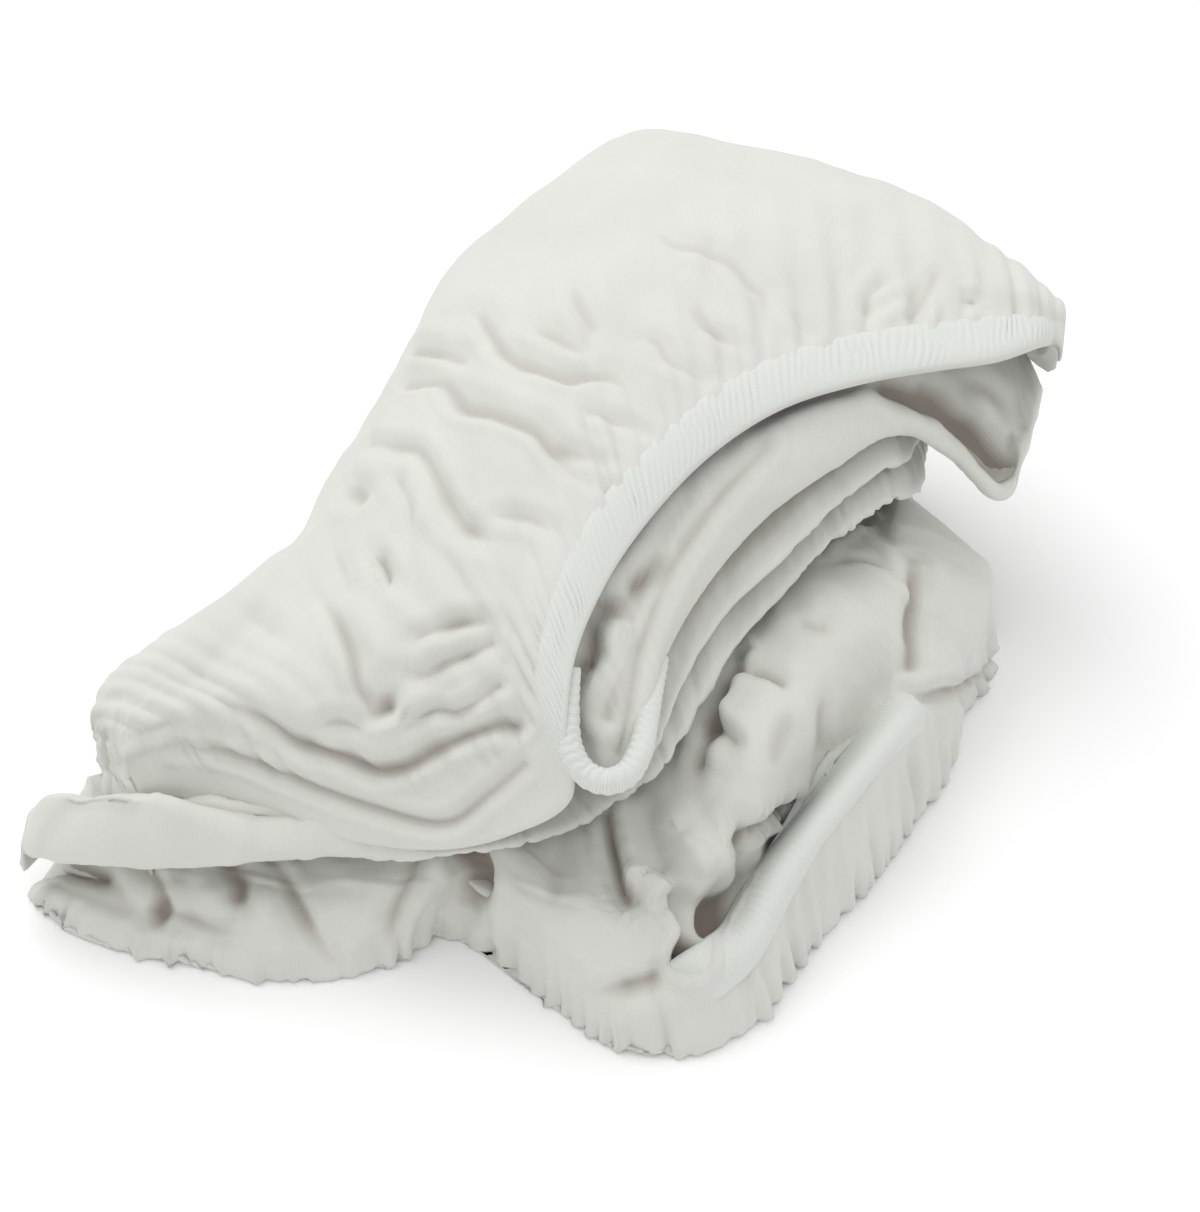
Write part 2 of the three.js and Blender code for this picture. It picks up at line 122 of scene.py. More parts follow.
# crest x, y, z; valley x, y, z; rim x, y, z; edge x, y
LOWER_MASS = np.array([
    [161, 93, 58, 170, 82, 52, 188, 68, 30, 198, 60],
    [157, 72, 78, 168, 64, 72, 191, 50, 58, 199, 42],
    [154, 52, 82, 169, 46, 78, 194, 36, 60, 192, 26],
    [151, 28, 84, 168, 22, 80, 187, 14, 62, 180, 6],
    [146, 2, 88, 161, -5, 74, 176, -10, 58, 175, -16],
    [136, -16, 88, 147, -25, 66, 158, -33, 56, 167, -37],
    [122, -36, 88, 133, -47, 52, 148, -55, 62, 153, -61],
    [106, -62, 86, 110, -74, 36, 124, -86, 54, 131, -94],
    [90, -88, 80, 90, -100, 28, 98, -118, 42, 106, -130],
    [68, -114, 56, 70, -127, 24, 80, -147, 31, 88, -158],
    [45, -128, 50, 48, -140, 46, 56, -160, 30, 66, -174],
    [24, -132, 44, 30, -144, 46, 36, -164, 30, 38, -177],
    [0, -126, 48, 3, -138, 44, 6, -150, 28, 7, -153],
    [-25, -108, 43, -29, -112, 33, -35, -116, 20, -37, -117],
    [-52, -110, 40, -54, -122, 33, -54, -128, 18, -56, -131],
    [-92, -108, 35, -92, -120, 28, -93, -134, 16, -90, -139],
    [-132, -100, 31, -136, -112, 25, -140, -126, 14, -144, -131],
    [-174, -92, 23, -179, -101, 19, -184, -107, 12, -190, -114],
    [-192, -85, 16, -196, -90, 13, -200, -93, 9, -207, -94],
], float)

# Section and millimetres: how far the hem settles on the tongue below it at the left, and how
# far that tongue swells up under the hem.
HEM_SETTLE = [(0, 0), (12, 0), (14, 3), (15.5, 6), (18, 7)]
TONGUE_SWELL = [(0, 0), (12, 0), (13.5, 8), (15, 13), (16, 15), (17, 13), (18, 6)]
# Section and millimetres: how far the nose of the top layer draws back to the right.
NOSE_DRAW = [(0, 0), (15, 0), (16, 2), (17, 8), (18, 18)]
# Control positions: where the settling of the hem and the drawing of the nose fade out, and the
# middle and width of the tongue's swelling.
SETTLE_FADE, NOSE_FADE = (1.2, 3.2), (23, 25.5)
SWELL_CENTRE, SWELL_WIDTH = 26.9, 0.75
# Rows added where an end of the sheet turns down: radius, drop, turn in degrees and their number.
TOP_LEFT_ROLL, TOP_RIGHT_ROLL, TONGUE_ROLL = (10, 19, 115, 12), (5, 7, 110, 8), (5, 5, 110, 10)

# Heights of the layers between the lips, as shares: at the middle, at the back.
LAYER_HEIGHTS = {
    "second": (0.845, 0.83),
    "third": (0.765, 0.66),
    "fourth": (0.69, 0.565),
    "fifth": (0.62, 0.495),
    "sixth": (0.535, 0.42),
    "seventh": (0.455, 0.345),
    "eighth": (0.33, 0.245),
}
BACK_FOLDS = {"upper": 0.612, "middle": 0.455, "lower": 0.295, "floor": 0.045}
TUCKED_UPPER = {"front": 0.55, "middle": 0.5, "back": 0.165}
TUCKED_UNDER = {"front": 0.33, "middle": 0.3, "back": 0.095}

# Places along a section, counted in control points from the turned hem.
HEM, BAND_LOW, BAND_HIGH, CROWN, RIDGE = 1.0, 2.0, 3.0, 4.0, 6.0
TOP_END, HIGH_LIP, MIDDLE_LIP, LOW_LIP, LIPS_END = 10.0, 12.0, 20.0, 28.0, 30.0
CREST, RIM, EDGE, LOWER_END = 35.0, 37.0, 39.0, 49.0
# Shares of the way from the hem to the ridge, and their control positions.
SHARE_KNOTS = [0, 1 / 13, 2 / 13, 6 / 13, 10 / 13, 1]
SHARE_CONTROLS = [HEM, BAND_LOW, BAND_HIGH, CROWN, 5, RIDGE]

# Columns of each visible piece: their number, then rows of control position and fineness there.
TOP_COLUMNS = (140, [(0, 3), (3, 1.6), (4, 1), (7, 1), (8.6, 0.5), (10, 0.2)])
LIP_COLUMNS = (146, [
    (10, 0.8), (10.8, 2.2), (12, 3), (13, 1.2), (14, 0.3), (15, 0.5), (16, 1), (17, 0.5),
    (18, 0.3), (19, 1.5), (20, 3), (21, 1.2), (22, 0.3), (23, 0.5), (24, 1), (25, 0.5), (26, 0.3),
    (27, 1.5), (28, 3), (29, 1.2), (30, 0.3)])
LOWER_COLUMNS = (146, [
    (30, 0.3), (31, 0.5), (32, 1), (33, 0.4), (34, 1), (35, 2.4), (39, 2.4), (40, 0.4), (41, 0.2),
    (42, 0.3), (43, 0.8), (44, 0.3), (45, 0.2), (49, 0.2)])


# ---------------------------------------------------------------- the folded sheet


def at_height(points, height):
    """The same plan places at another height."""
    moved = np.array(points, float)
    moved[:, 2] = height
    return moved


def between(start, end, share, height):
    """Points a share of the way from start to end, at a given height."""
    share = np.asarray(share, float).reshape(-1, 1)
    return at_height(start + (end - start) * share, height)


def plan_distance(start, end):
    """Distances seen from above."""
    return np.hypot(end[:, 0] - start[:, 0], end[:, 1] - start[:, 1])


def control_points():
    """The control points of every section, as (control, section, xyz).

    A section is one back-and-forth chain: the turned hem, the top layer and its back wall, then
    forward and back through the high, middle and low lips, over the crest of the lower mass, out
    to the rim and edge, back along the surface, and through the two layers tucked inside.
    """
    shift = np.array([*PLAN_CENTRE, 0.0])
    flat_shift = shift[:2]
    hem, crown, ridge = TOP_LAYER[:, :3] - shift, TOP_LAYER[:, 3], TOP_LAYER[:, 4:] - shift
    high, middle, low = (LIPS[:, k:k + 3] - shift for k in (0, 3, 6))
    back = np.column_stack([LIPS[:, 9:11] - flat_shift, np.zeros(SECTIONS)])
    lip_crown = LIPS[:, 11]
    crest, valley, rim = (LOWER_MASS[:, k:k + 3] - shift for k in (0, 3, 6))
    edge = np.column_stack([LOWER_MASS[:, 9:] - flat_shift, np.full(SECTIONS, FLOOR_HEIGHT)])
    index = np.arange(SECTIONS)

    outward = at_height(ridge - hem, 0)
    outward /= np.linalg.norm(outward, axis=1, keepdims=True)
    length = plan_distance(hem, ridge)
    strip = np.minimum(STRIP_WIDTH, 0.3 * length)
    before, after = hem[np.maximum(index - 1, 0)], hem[np.minimum(index + 1, SECTIONS - 1)]
    slant = np.hypot(1, (after[:, 2] - before[:, 2]) / plan_distance(before, after))

    def on_top(distance, height):
        return at_height(hem + outward * np.asarray(distance).reshape(-1, 1), height)

    chain = [
        on_top(np.minimum(HEM_RETURN, 0.2 * length), hem[:, 2] - HEM_DROP * slant),
        hem,
        on_top(0.1 * strip * slant, hem[:, 2] + HEM_RISE * slant),
        on_top(strip, hem[:, 2] + STRIP_LIFT + STRIP_RISE * (crown - hem[:, 2])),
        between(hem, ridge, 0.46, crown),
        between(hem, ridge, 0.77, crown - 0.42 * (crown - ridge[:, 2])),
        ridge,
    ]
    unevenness = BACK_UNEVENNESS * np.minimum((crown / EVEN_HEIGHT) ** 2, 1)

    def bulged(points, distance, phase):
        wave = distance + unevenness * np.sin(BACK_PACE * index + phase)
        return points + outward * wave[:, None]

    shell_back = bulged(ridge, BACK_BULGE, 0)
    chain.append(at_height(shell_back, WALL_TOP * ridge[:, 2]))
    chain.append(at_height(shell_back + WALL_LEAN * outward, WALL_FOOT * ridge[:, 2]))

    lip_round = np.minimum(LIP_ROUND, LIP_ROUND_SHARE * crown)
    stack_ridge = ridge[:, 2] * lip_crown / crown

    def near(start, end):
        return np.minimum(LIP_DEPTH / np.linalg.norm(end - start, axis=1), 0.25)

    def forward(start, lip, heights, top, bottom, rise):
        base = at_height(start, lip[:, 2])
        chain.append(between(base, lip, near(base, lip), heights[1] * bottom))
        chain.append(between(base, lip, 0.5, heights[0] * top))
        chain.append(between(lip, base, near(base, lip), lip[:, 2] + lip_round + rise))
        chain.append(lip)

    def backward(lip, end, heights, top):
        base = at_height(end, lip[:, 2])
        chain.append(between(lip, base, near(base, lip), lip[:, 2] - lip_round))
        chain.append(between(lip, base, 0.5, heights[0] * top))
        chain.append(between(base, lip, near(base, lip), heights[1] * stack_ridge))

    def back_fold(name, phase):
        chain.append(at_height(bulged(back, 0, phase), BACK_FOLDS[name] * stack_ridge))

    high_rise, low_rise = LIPS[:, 12], LIPS[:, 13]
    second = LAYER_HEIGHTS["second"]
    forward(between(shell_back, back, 0.5, 0), high, second, crown, ridge[:, 2], high_rise)
    backward(high, back, LAYER_HEIGHTS["third"], crown)
    back_fold("upper", 2)
    forward(back, middle, LAYER_HEIGHTS["fourth"], lip_crown, stack_ridge, 0)
    backward(middle, back, LAYER_HEIGHTS["fifth"], lip_crown)
    back_fold("middle", 4)
    forward(back, low, LAYER_HEIGHTS["sixth"], lip_crown, stack_ridge, low_rise)
    backward(low, back, LAYER_HEIGHTS["seventh"], lip_crown)
    back_fold("lower", 1)

    base = at_height(back, FLOOR_HEIGHT)
    eighth = LAYER_HEIGHTS["eighth"]
    chain.append(between(base, crest, near(base, crest), eighth[1] * stack_ridge))
    chain.append(between(base, crest, 0.55, eighth[0] * lip_crown))
    chain += [crest, valley, rim, between(rim, edge, 0.5, 0.7 * rim[:, 2]), edge]
    chain += [between(edge, base, share, FLOOR_HEIGHT) for share in (0.12, 0.5, 0.94)]
    chain.append(at_height(base, BACK_FOLDS["floor"] * stack_ridge + FLOOR_HEIGHT))
    openness = np.clip((valley[:, 2] / crest[:, 2] - 0.6) / 0.3, 0, 1)
    inside = between(base, crest, 0.92, 0)
    inside += (rim - inside) * (0.4 * openness)[:, None]
    crest_height = crest[:, 2]
    chain.append(between(base, inside, 0.1, TUCKED_UNDER["back"] * stack_ridge))
    chain.append(between(base, inside, 0.6, TUCKED_UNDER["middle"] * crest_height))
    chain.append(at_height(inside, TUCKED_UNDER["front"] * crest_height))
    chain.append(at_height(inside, TUCKED_UPPER["front"] * crest_height))
    chain.append(between(inside, base, 0.4, TUCKED_UPPER["middle"] * crest_height))
    chain.append(between(inside, base, 0.85, TUCKED_UPPER["back"] * stack_ridge))
    return np.array(chain)


def along_curve(points, at):
    """Places along a smooth curve through points (first axis), at positions counted in points.

    Catmull and Rom's curve in Barry and Goldman's form: six blends between four neighbouring
    points, paced by the square roots of their distances.
    """
    points, at = np.asarray(points, float), np.asarray(at, float)
    before, after = 2 * points[:1] - points[1:2], 2 * points[-1:] - points[-2:-1]
    padded = np.concatenate([before, points, after])
    whole = np.clip(np.floor(at).astype(int), 0, len(points) - 2)
    share = (at - whole).reshape(-1, *[1] * (points.ndim - 1))
    a, b, c, d = (padded[whole + k] for k in range(4))

    def pace(start, end):
        return np.sqrt(np.maximum(np.linalg.norm(end - start, axis=-1, keepdims=True), 0.01))

    first = pace(a, b)
    second = first + pace(b, c)
    third = second + pace(c, d)
    moment = first + share * (second - first)

    def blend(start, end, since, until):
        return start + (end - start) * (moment - since) / (until - since)

    left, inner = blend(a, b, 0, first), blend(b, c, first, second)
    right = blend(c, d, second, third)
    return blend(blend(left, inner, 0, second), blend(inner, right, first, third), first, second)


CONTROLS = control_points()


def middle_surface(rows, columns):
    """The cloth's middle surface at section positions (rows) and control positions (columns):
    first smooth along each section, then smooth across the sections."""
    sections = along_curve(CONTROLS, columns)
    grid = along_curve(sections.transpose(1, 0, 2), rows)
    grid[..., 2] = np.maximum(grid[..., 2], FLOOR_HEIGHT)
    return grid


def row_positions(count):
    """Section positions spaced by the longest way that the visible edges travel."""
    fine = np.linspace(0, SECTIONS - 1, 721)
    lines = middle_surface(fine, [HEM, CROWN, RIDGE, HIGH_LIP, CREST, RIM])
    steps = np.linalg.norm(np.diff(lines, axis=0), axis=-1).max(axis=1)
    travelled = np.concatenate([[0], np.cumsum(steps)])
    return np.interp(np.linspace(0, travelled[-1], count), travelled, fine)


def column_positions(start, end, count, fineness):
    """Control positions from start to end, spaced by length times a fineness for each stretch.

    fineness: rows of control position and weight, blended between them.
    """
    fine = np.linspace(start, end, 1201)
    lines = middle_surface(np.arange(SECTIONS), fine)
    steps = np.linalg.norm(np.diff(lines, axis=1), axis=-1).mean(axis=0)
    places, weights = zip(*fineness)
    steps = steps * np.interp((fine[1:] + fine[:-1]) / 2, places, weights)
    travelled = np.concatenate([[0], np.cumsum(steps)])
    return np.interp(np.linspace(0, travelled[-1], count), travelled, fine)


def grid_normals(grid):
    """Unit normals: the direction across the rows times the direction along them."""
    normals = np.cross(np.gradient(grid, axis=1), np.gradient(grid, axis=0))
    return normals / np.maximum(np.linalg.norm(normals, axis=-1, keepdims=True), 1e-9)


def by_section(table, rows):
    """Values of a table of section and millimetres at the rows, as one column."""
    return np.interp(rows, *zip(*table))[:, None]


def at_column(values, columns, place):
    """The values in the column nearest to a control position, as one column."""
    return values[:, np.abs(columns - place).argmin()][:, None]


def lengths_along(grid, axis):
    """Distance travelled from the first point of each line of the grid."""
    steps = np.linalg.norm(np.diff(grid, axis=axis), axis=-1)
    shape = list(steps.shape)
    shape[axis] = 1
    return np.concatenate([np.zeros(shape), np.cumsum(steps, axis=axis)], axis=axis)


# ---------------------------------------------------------------- folds and wrinkles


def soft_noise(x, y, seed):
    """Smooth hills and hollows from -1 to 1 about a unit apart: random heights at whole numbers,
    joined by a curve that is level at each of them."""
    size = 64
    heights = np.random.default_rng(seed).uniform(-1, 1, (size, size))
    column, row = np.floor(x).astype(int), np.floor(y).astype(int)
    u, v = x - column, y - row
    u, v = u * u * u * (u * (6 * u - 15) + 10), v * v * v * (v * (6 * v - 15) + 10)

    def in_row(line):
        left, right = heights[line % size, column % size], heights[line % size, (column + 1) % size]
        return left * (1 - u) + right * u

    return in_row(row) * (1 - v) + in_row(row + 1) * v


def folded_noise(x, y, seed):
    """Hills and hollows with rounded ridges: noise of bent places, as soft cloth crumples."""
    bend_x = 0.55 * soft_noise(0.7 * x + 9.1, 0.7 * y, seed + 1)
    bend_y = 0.55 * soft_noise(0.7 * x, 0.7 * y + 4.3, seed + 2)
    return soft_noise(x + bend_x, y + bend_y, seed)


def smooth_step(value, start, end):
    """0 before start, 1 after end and an even rise between them."""
    share = np.clip((value - start) / (end - start), 0, 1)
    return share * share * (3 - 2 * share)


# A crease's profile: how fast its trough ends, how far out it is worked out, the share of its
# length that each end fades over, and the depth, place and width of the shoulder beside it. The
# places and widths count in widths of the crease.
TROUGH_POWER, CREASE_REACH, END_SHARE = 1.6, 3.2, 0.35
SHOULDER_DEPTH, SHOULDER_PLACE, SHOULDER_WIDTH = 0.32, 2.0, 0.75


def press(grid, normals, line, width, depth, head, tail, lean):
    """How deep one crease presses each point of the grid.

    The crease is a soft trough about a line of points: depth times e to the minus (distance over
    width) to the trough's power, less e to the minus (distance from the shoulder over its width)
    squared times the shoulder's depth. head and tail are its strength at its two ends, and lean
    widens it on one side and narrows it on the other.
    """
    result = np.zeros(grid.shape[:2])
    reach = CREASE_REACH * width * (1 + abs(lean))
    inside = np.all((grid > line.min(axis=0) - reach) & (grid < line.max(axis=0) + reach), axis=-1)
    points = grid[inside][:, None, :]
    if not len(points):
        return result
    start, step = line[:-1], np.diff(line, axis=0)
    share = np.clip(((points - start) * step).sum(-1) / (step ** 2).sum(-1), 0, 1)
    foot = start + share[..., None] * step
    distance = np.linalg.norm(points - foot, axis=-1)
    nearest = distance.argmin(axis=1)
    pick = np.arange(len(nearest))
    distance = distance[pick, nearest]
    along = (nearest + share[pick, nearest]) / len(step)
    sideways = np.cross(step[nearest], points[:, 0] - foot[pick, nearest])
    step_width = np.linalg.norm(step[nearest], axis=-1) * width
    side = np.tanh((sideways * normals[inside]).sum(-1) / step_width)
    apart = distance / (width * (1 + lean * side))
    strength = 1 - (1 - head) * (1 - smooth_step(along, 0, END_SHARE))
    strength -= (1 - tail) * smooth_step(along, 1 - END_SHARE, 1)
    shoulder = np.exp(-((apart - SHOULDER_PLACE) / SHOULDER_WIDTH) ** 2)
    result[inside] = depth * strength * (np.exp(-apart ** TROUGH_POWER) - SHOULDER_DEPTH * shoulder)
    return result


def path_line(path, to_control):
    """A smooth line of points on the middle surface through pairs of section and place."""
    path = np.array(path, float)
    controls = to_control(path[:, 1])
    corners = middle_surface(path[:, 0], controls)[np.arange(len(path)), np.arange(len(path))]
    return along_curve(corners, np.linspace(0, len(path) - 1, 7 * (len(path) - 1) + 1))


def pressed(grid, normals, creases, to_control, tightness):
    """The sum of a table of creases, with their widths times a tightness."""
    total = np.zeros(grid.shape[:2])
    for path, width, depth, head, tail, lean in creases:
        line = path_line(path, to_control)
        total += press(grid, normals, line, width * tightness, depth, head, tail, lean)
    return total


def share_to_control(share):
    """Control position of a share of the way from hem to ridge."""
    return np.interp(share, SHARE_KNOTS, SHARE_CONTROLS)


def station_to_control(station):
    """Control position of a station of the lower mass: 0 is its crest and 4 its edge."""
    return CREST + np.asarray(station, float)


# Creases of the top layer. path: pairs of section and share of the way from hem to ridge;
# width and depth in millimetres; strength at the head and at the tail; lean to one side.
TOP_CREASES = [
    ([(8.9, .96), (8.8, .88), (8.6, .77), (8.4, .59)], 5.5, 3.4, .9, .1, .3),
    ([(9.2, .9), (8.9, .77), (8.9, .64), (8.6, .49), (8.2, .36), (8.1, .31), (7.9, .23),
      (7.6, .15)], 6, 3.6, .8, .2, .35),
    ([(8.4, .87), (8.1, .79), (8.1, .69), (8.1, .56), (7.9, .46), (7.6, .38), (7.2, .33), (7, .28),
      (6.8, .21)], 6, 3.4, .3, .2, .3),
    ([(9.9, .94), (9.8, .87), (9.6, .72), (9.8, .56), (9.8, .46), (9.5, .36), (9.1, .28)], 5.5, 3,
     .7, .1, -.2),
    ([(9.8, .46), (8.9, .31), (8.4, .18)], 5, 2.2, .2, .2, 0),
    ([(7.2, .62), (7.2, .46), (7.1, .38)], 6, 2.6, 0, 0, .2),
    ([(7.9, .66), (7.6, .49), (7.4, .41), (7.1, .36)], 6, 2.8, 0, 0, .2),
    ([(6.4, .69), (6.2, .59), (6.1, .49), (5.8, .44), (5.5, .41), (5.2, .33), (5.1, .31),
      (5.1, .23), (4.9, .18)], 6.5, 2.4, 0, .3, .2),
    ([(6.8, .36), (6.5, .31), (6.4, .26), (6, .18)], 5, 2.4, 0, .6, 0),
    ([(6.1, .38), (5.9, .28), (5.5, .21)], 5, 2, 0, .5, 0),
    ([(7.6, .33), (7.4, .28), (6.9, .18)], 4.5, 2.2, 0, .6, 0),
    ([(8.1, .33), (7.8, .26), (7.4, .18)], 4.5, 2, 0, .6, 0),
    ([(10.5, .99), (10.5, .92), (10.5, .85)], 7, 3.2, .5, 0, 0),
    ([(10, .85), (10, .77), (10.2, .67), (10.9, .67)], 5, 2.4, 0, 0, 0),
    ([(11, .79), (11.1, .72), (11.4, .61)], 3.4, 4.2, .2, .2, .5),
    ([(11.1, .94), (11.5, .79), (11.9, .62)], 6, 2, .4, 0, 0),
    ([(11.9, .85), (12.1, .69), (12.5, .51), (12.8, .38), (12.8, .33), (12.6, .33)], 5.5, 3.8, .1,
     1.3, .3),
    ([(12.5, .36), (11.8, .41)], 7, 2.6, .8, 0, 0),
    ([(14.1, .83), (14.4, .54), (14.1, .36), (13.9, .28), (13.5, .23), (13.2, .18), (12.9, .18),
      (12.2, .21), (11.5, .21), (11.2, .18)], 5.5, 5.2, .1, .8, .3),
    ([(13.8, .33), (13.2, .33), (13, .28)], 5, 3.6, 0, .4, 0),
    ([(12.8, .26), (12.1, .29), (11.8, .27), (11.1, .27)], 4, 4.2, .2, .8, 0),
    ([(12.2, .36), (11.6, .37), (11.2, .36), (10.8, .33)], 4, 3.6, .2, .8, 0),
    ([(11.9, .46), (11.5, .45), (11, .42), (10.7, .38)], 4, 2.6, .2, .5, 0),
    ([(16.4, .26), (15.4, .2), (14.8, .17), (14.2, .14), (13.6, .12), (12.8, .1), (12, .12),
      (11.4, .13)], 4, 3.8, .1, .7, 0),
    ([(17.3, .5), (16.6, .42), (15.8, .4), (15, .42)], 6, 2.2, .3, 0, .3),
    ([(12.8, .9), (12.8, .81), (12.9, .64)], 7, 1.6, .3, 0, 0),
    ([(11.4, .46), (10.8, .38), (10.1, .26)], 6, 1.8, 0, .4, 0),
    ([(4, .41), (4, .24)], 5, 1.6, 0, .4, 0),
    ([(3, .44), (3, .36), (3.2, .23), (3.5, .15)], 5, 2.2, 0, .8, 0),
    ([(3.5, .36), (3.8, .28), (4, .15)], 4.5, 2.4, 0, .8, 0),
    ([(3.4, .28), (3.8, .21)], 4, 1.6, 0, .5, 0),
    ([(2.4, .27), (2.4, .22)], 4, 3, .6, .6, 0),
    ([(5.9, .38), (5.8, .28), (5.6, .23)], 4.5, 1.8, 0, .4, 0),
    ([(4.8, .26), (4.6, .18)], 4, 1.8, .2, .7, 0),
]

# Creases of the lower mass. path: pairs of section and station; the rest as above.
LOWER_CREASES = [
    ([(4.15, -.65), (4.9, -.6), (5.5, -.55)], 5, 9, .6, 1, 0),
    ([(5.25, -.45), (4.55, -.33), (3.9, .1)], 3.5, 3, .4, .6, 0),
    ([(3.1, .4), (3.95, .62), (4.85, 1.3)], 5, 4.5, .5, .9, 0),
    ([(5.3, 1.68), (4.5, 2.5), (2.5, 3.55), (.95, 3.73)], 3.2, 5, .7, .8, 0),
    ([(5.55, 1.83), (4.3, 3.05), (2.25, 3.8)], 2.6, 2.6, .6, .3, 0),
    ([(7.45, -.38), (7.95, -.35), (8.25, -.33), (8.25, -.17)], 4, 7, .6, .5, .2),
    ([(8.3, -.33), (8.55, -.3), (8.75, -.25)], 4, 5, .8, .3, 0),
    ([(7.6, -.33), (7.35, -.2), (7.2, -.05)], 3.6, 4, .9, .1, 0),
    ([(6.6, .15), (6.7, .42), (6.65, .8)], 5, 2.6, .2, .5, .4),
    ([(6.7, 1.1), (7.25, .77), (8.2, .48), (8.6, .35)], 3.2, 8.5, .9, .4, .3),
    ([(7.5, .77), (7.65, .98), (7.9, 1.33)], 6, 6.5, .9, .2, 0),
    ([(9.75, .77), (9.7, 1.35), (9.8, 1.8)], 4.5, 8, .6, 1, 0),
    ([(8.45, .85), (9, 1), (9.75, 1.77)], 5, 6.5, .3, 1, 0),
    ([(9, .62), (9.25, 1.05)], 7, 6, .6, .8, 0),
    ([(11.5, 2.93), (11, 2.12), (10.4, 1.93), (9.95, 1.7)], 5, 4, .3, .9, .3),
    ([(9.85, -.42), (10.2, -.27), (10.55, .17), (10.15, 1.15)], 3.6, 6, .9, .4, 0),
    ([(8.6, .2), (8.6, .42), (8.5, .83)], 4.5, 4.5, .8, .5, 0),
    ([(6.5, -.3), (6.3, -.17), (5.9, -.1)], 5, 2.4, .1, .1, 0),
    ([(7.15, .02), (7.75, .08), (8, .27)], 8, 2.4, .1, .1, 0),
    ([(10.65, -.45), (11.6, -.05), (11.95, 1.45)], 6, 2.4, .6, .1, 0),
    ([(18, .85), (17.25, .85), (16.7, 1.18)], 6, 8, .8, .3, 0),
    ([(15.8, .17), (15.6, .8), (15.6, 1.38)], 6, 6.5, 1, .3, 0),
    ([(16.5, .48), (16.25, 1.35), (16.25, 3.1)], 4, 4.5, .8, .3, .2),
    ([(15.35, -.08), (15.05, 1.15), (14.75, 3.18)], 4.5, 4.5, .9, .4, .3),
    ([(13.75, -.08), (13.95, 1.2), (14.15, 3.2)], 4.5, 3.6, .8, .3, .2),
    ([(16.7, 1.77), (16.05, 1.6), (15.45, 2.15)], 5, 3.2, .3, .3, 0),
    ([(13.05, -.02), (12.8, .93), (12.8, 1.77)], 7, 9, 1, .5, 0),
]

# Creases of the cloth inside the mouth. path: pairs of section and control position.
MOUTH_CREASES = [
    ([(8.75, 10.7), (9.1, 10.72), (9.4, 10.75)], 5, 6, 1, .5, 0),
    ([(9.3, 10.78), (9.6, 10.74), (9.8, 10.73)], 4, 5, .6, 1, 0),
    ([(7.65, 10.91), (8.2, 10.83), (8.55, 10.83)], 4.5, 5, .4, 1, 0),
    ([(6.95, 10.86), (7.7, 10.9), (8.5, 10.95), (9.2, 11), (9.7, 11.05)], 3.6, 3.4, .4, 1.2, 0),
    ([(5.9, 10.95), (6.8, 11), (7.55, 11.1), (8.4, 11.25), (9.1, 11.4), (9.75, 11.55)], 3.6, 4, .6,
     .8, 0),
    ([(6.4, 10.8), (5.55, 10.8), (4.45, 10.95), (3.4, 11.1)], 4.5, 4, .4, .8, 0),
    ([(3.95, 11.09), (3.1, 10.91), (2.4, 10.81), (1.85, 11.01)], 7, 11, .6, .9, 0),
    ([(3.25, 10.78), (1.9, 10.48), (1.1, 11.24)], 5, 4, .5, .5, 0),
]

# Creases of the tongue at the left. path: pairs of section and control position.
TONGUE_CREASES = [
    ([(15.25, 26), (14.95, 26.58), (14.45, 26.93), (14, 27.04)], 4, 4.5, .5, .5, .3),
    ([(17.15, 27.23), (16.2, 26.98), (15.45, 27.28)], 6, 2.6, .2, .2, 0),
    ([(14.55, 26.18), (14.2, 26.66), (13.65, 26.88)], 4, 3.2, .8, .3, 0),
]

# Gathered ridges that stand on the lower mass. path: pairs of section and station; width and
# height in millimetres; spacing of the frills across it and their share of its height.
LOWER_RIDGES = [
    ([(9.75, -.4), (10.05, -.23), (10.25, .02), (9.95, .93), (9.85, 1.6)], 6, 10, 8, .55),
    ([(9.3, -.2), (9.35, -.02), (9.25, .4)], 6.5, 6.5, 8, .55),
]


def rolled_on(grid, roll, at_start):
    """The grid with rows added at one end, where the cloth turns down over the layers below.

    Each added row goes on in the direction of the last ones by the radius times the sine of an
    angle, and down by the drop times one minus its cosine, as the angle grows to the turn.
    """
    radius, drop, turn, count = roll
    end, inner = (grid[0], grid[4]) if at_start else (grid[-1], grid[-5])
    onward = (end - inner) * np.array([1.0, 1.0, 0.0])
    onward /= np.linalg.norm(onward, axis=-1, keepdims=True)
    onward = onward.mean(axis=0) / np.linalg.norm(onward.mean(axis=0))
    angle = np.linspace(0, math.radians(turn), count + 1)[1:, None, None]
    down = np.array([0.0, 0.0, -1.0])
    added = end + onward * radius * np.sin(angle) + down * drop * (1 - np.cos(angle))
    added[..., 2] = np.maximum(added[..., 2], FLOOR_HEIGHT)
    return np.concatenate([added[::-1], grid] if at_start else [grid, added])


def frilled(grid, normals, ridges, to_control):
    """The sum of a table of ridges: the same soft profile as a crease, standing up, with its
    height swelled by the sine of the distance along it over the frill spacing."""
    total = np.zeros(grid.shape[:2])
    for path, width, height, spacing, share in ridges:
        line = path_line(path, to_control)
        travelled = np.concatenate([[0], np.cumsum(np.linalg.norm(np.diff(line, axis=0), axis=1))])
        body = press(grid, normals, line, width, height, .5, .5, 0)
        near = np.linalg.norm(grid[:, :, None, :] - line[::3], axis=-1).argmin(axis=-1)
        total += body * (1 + share * np.sin(2 * math.pi * travelled[::3][near] / spacing))
    return total


def wrinkles(along, across, seed, sizes):
    """A sum of soft noise. sizes: rows of wavelength along, wavelength across and height."""
    total = np.zeros(along.shape)
    for order, (long, wide, height) in enumerate(sizes):
        total += height * folded_noise(along / long, across / wide, seed + 7 * order)
    return total


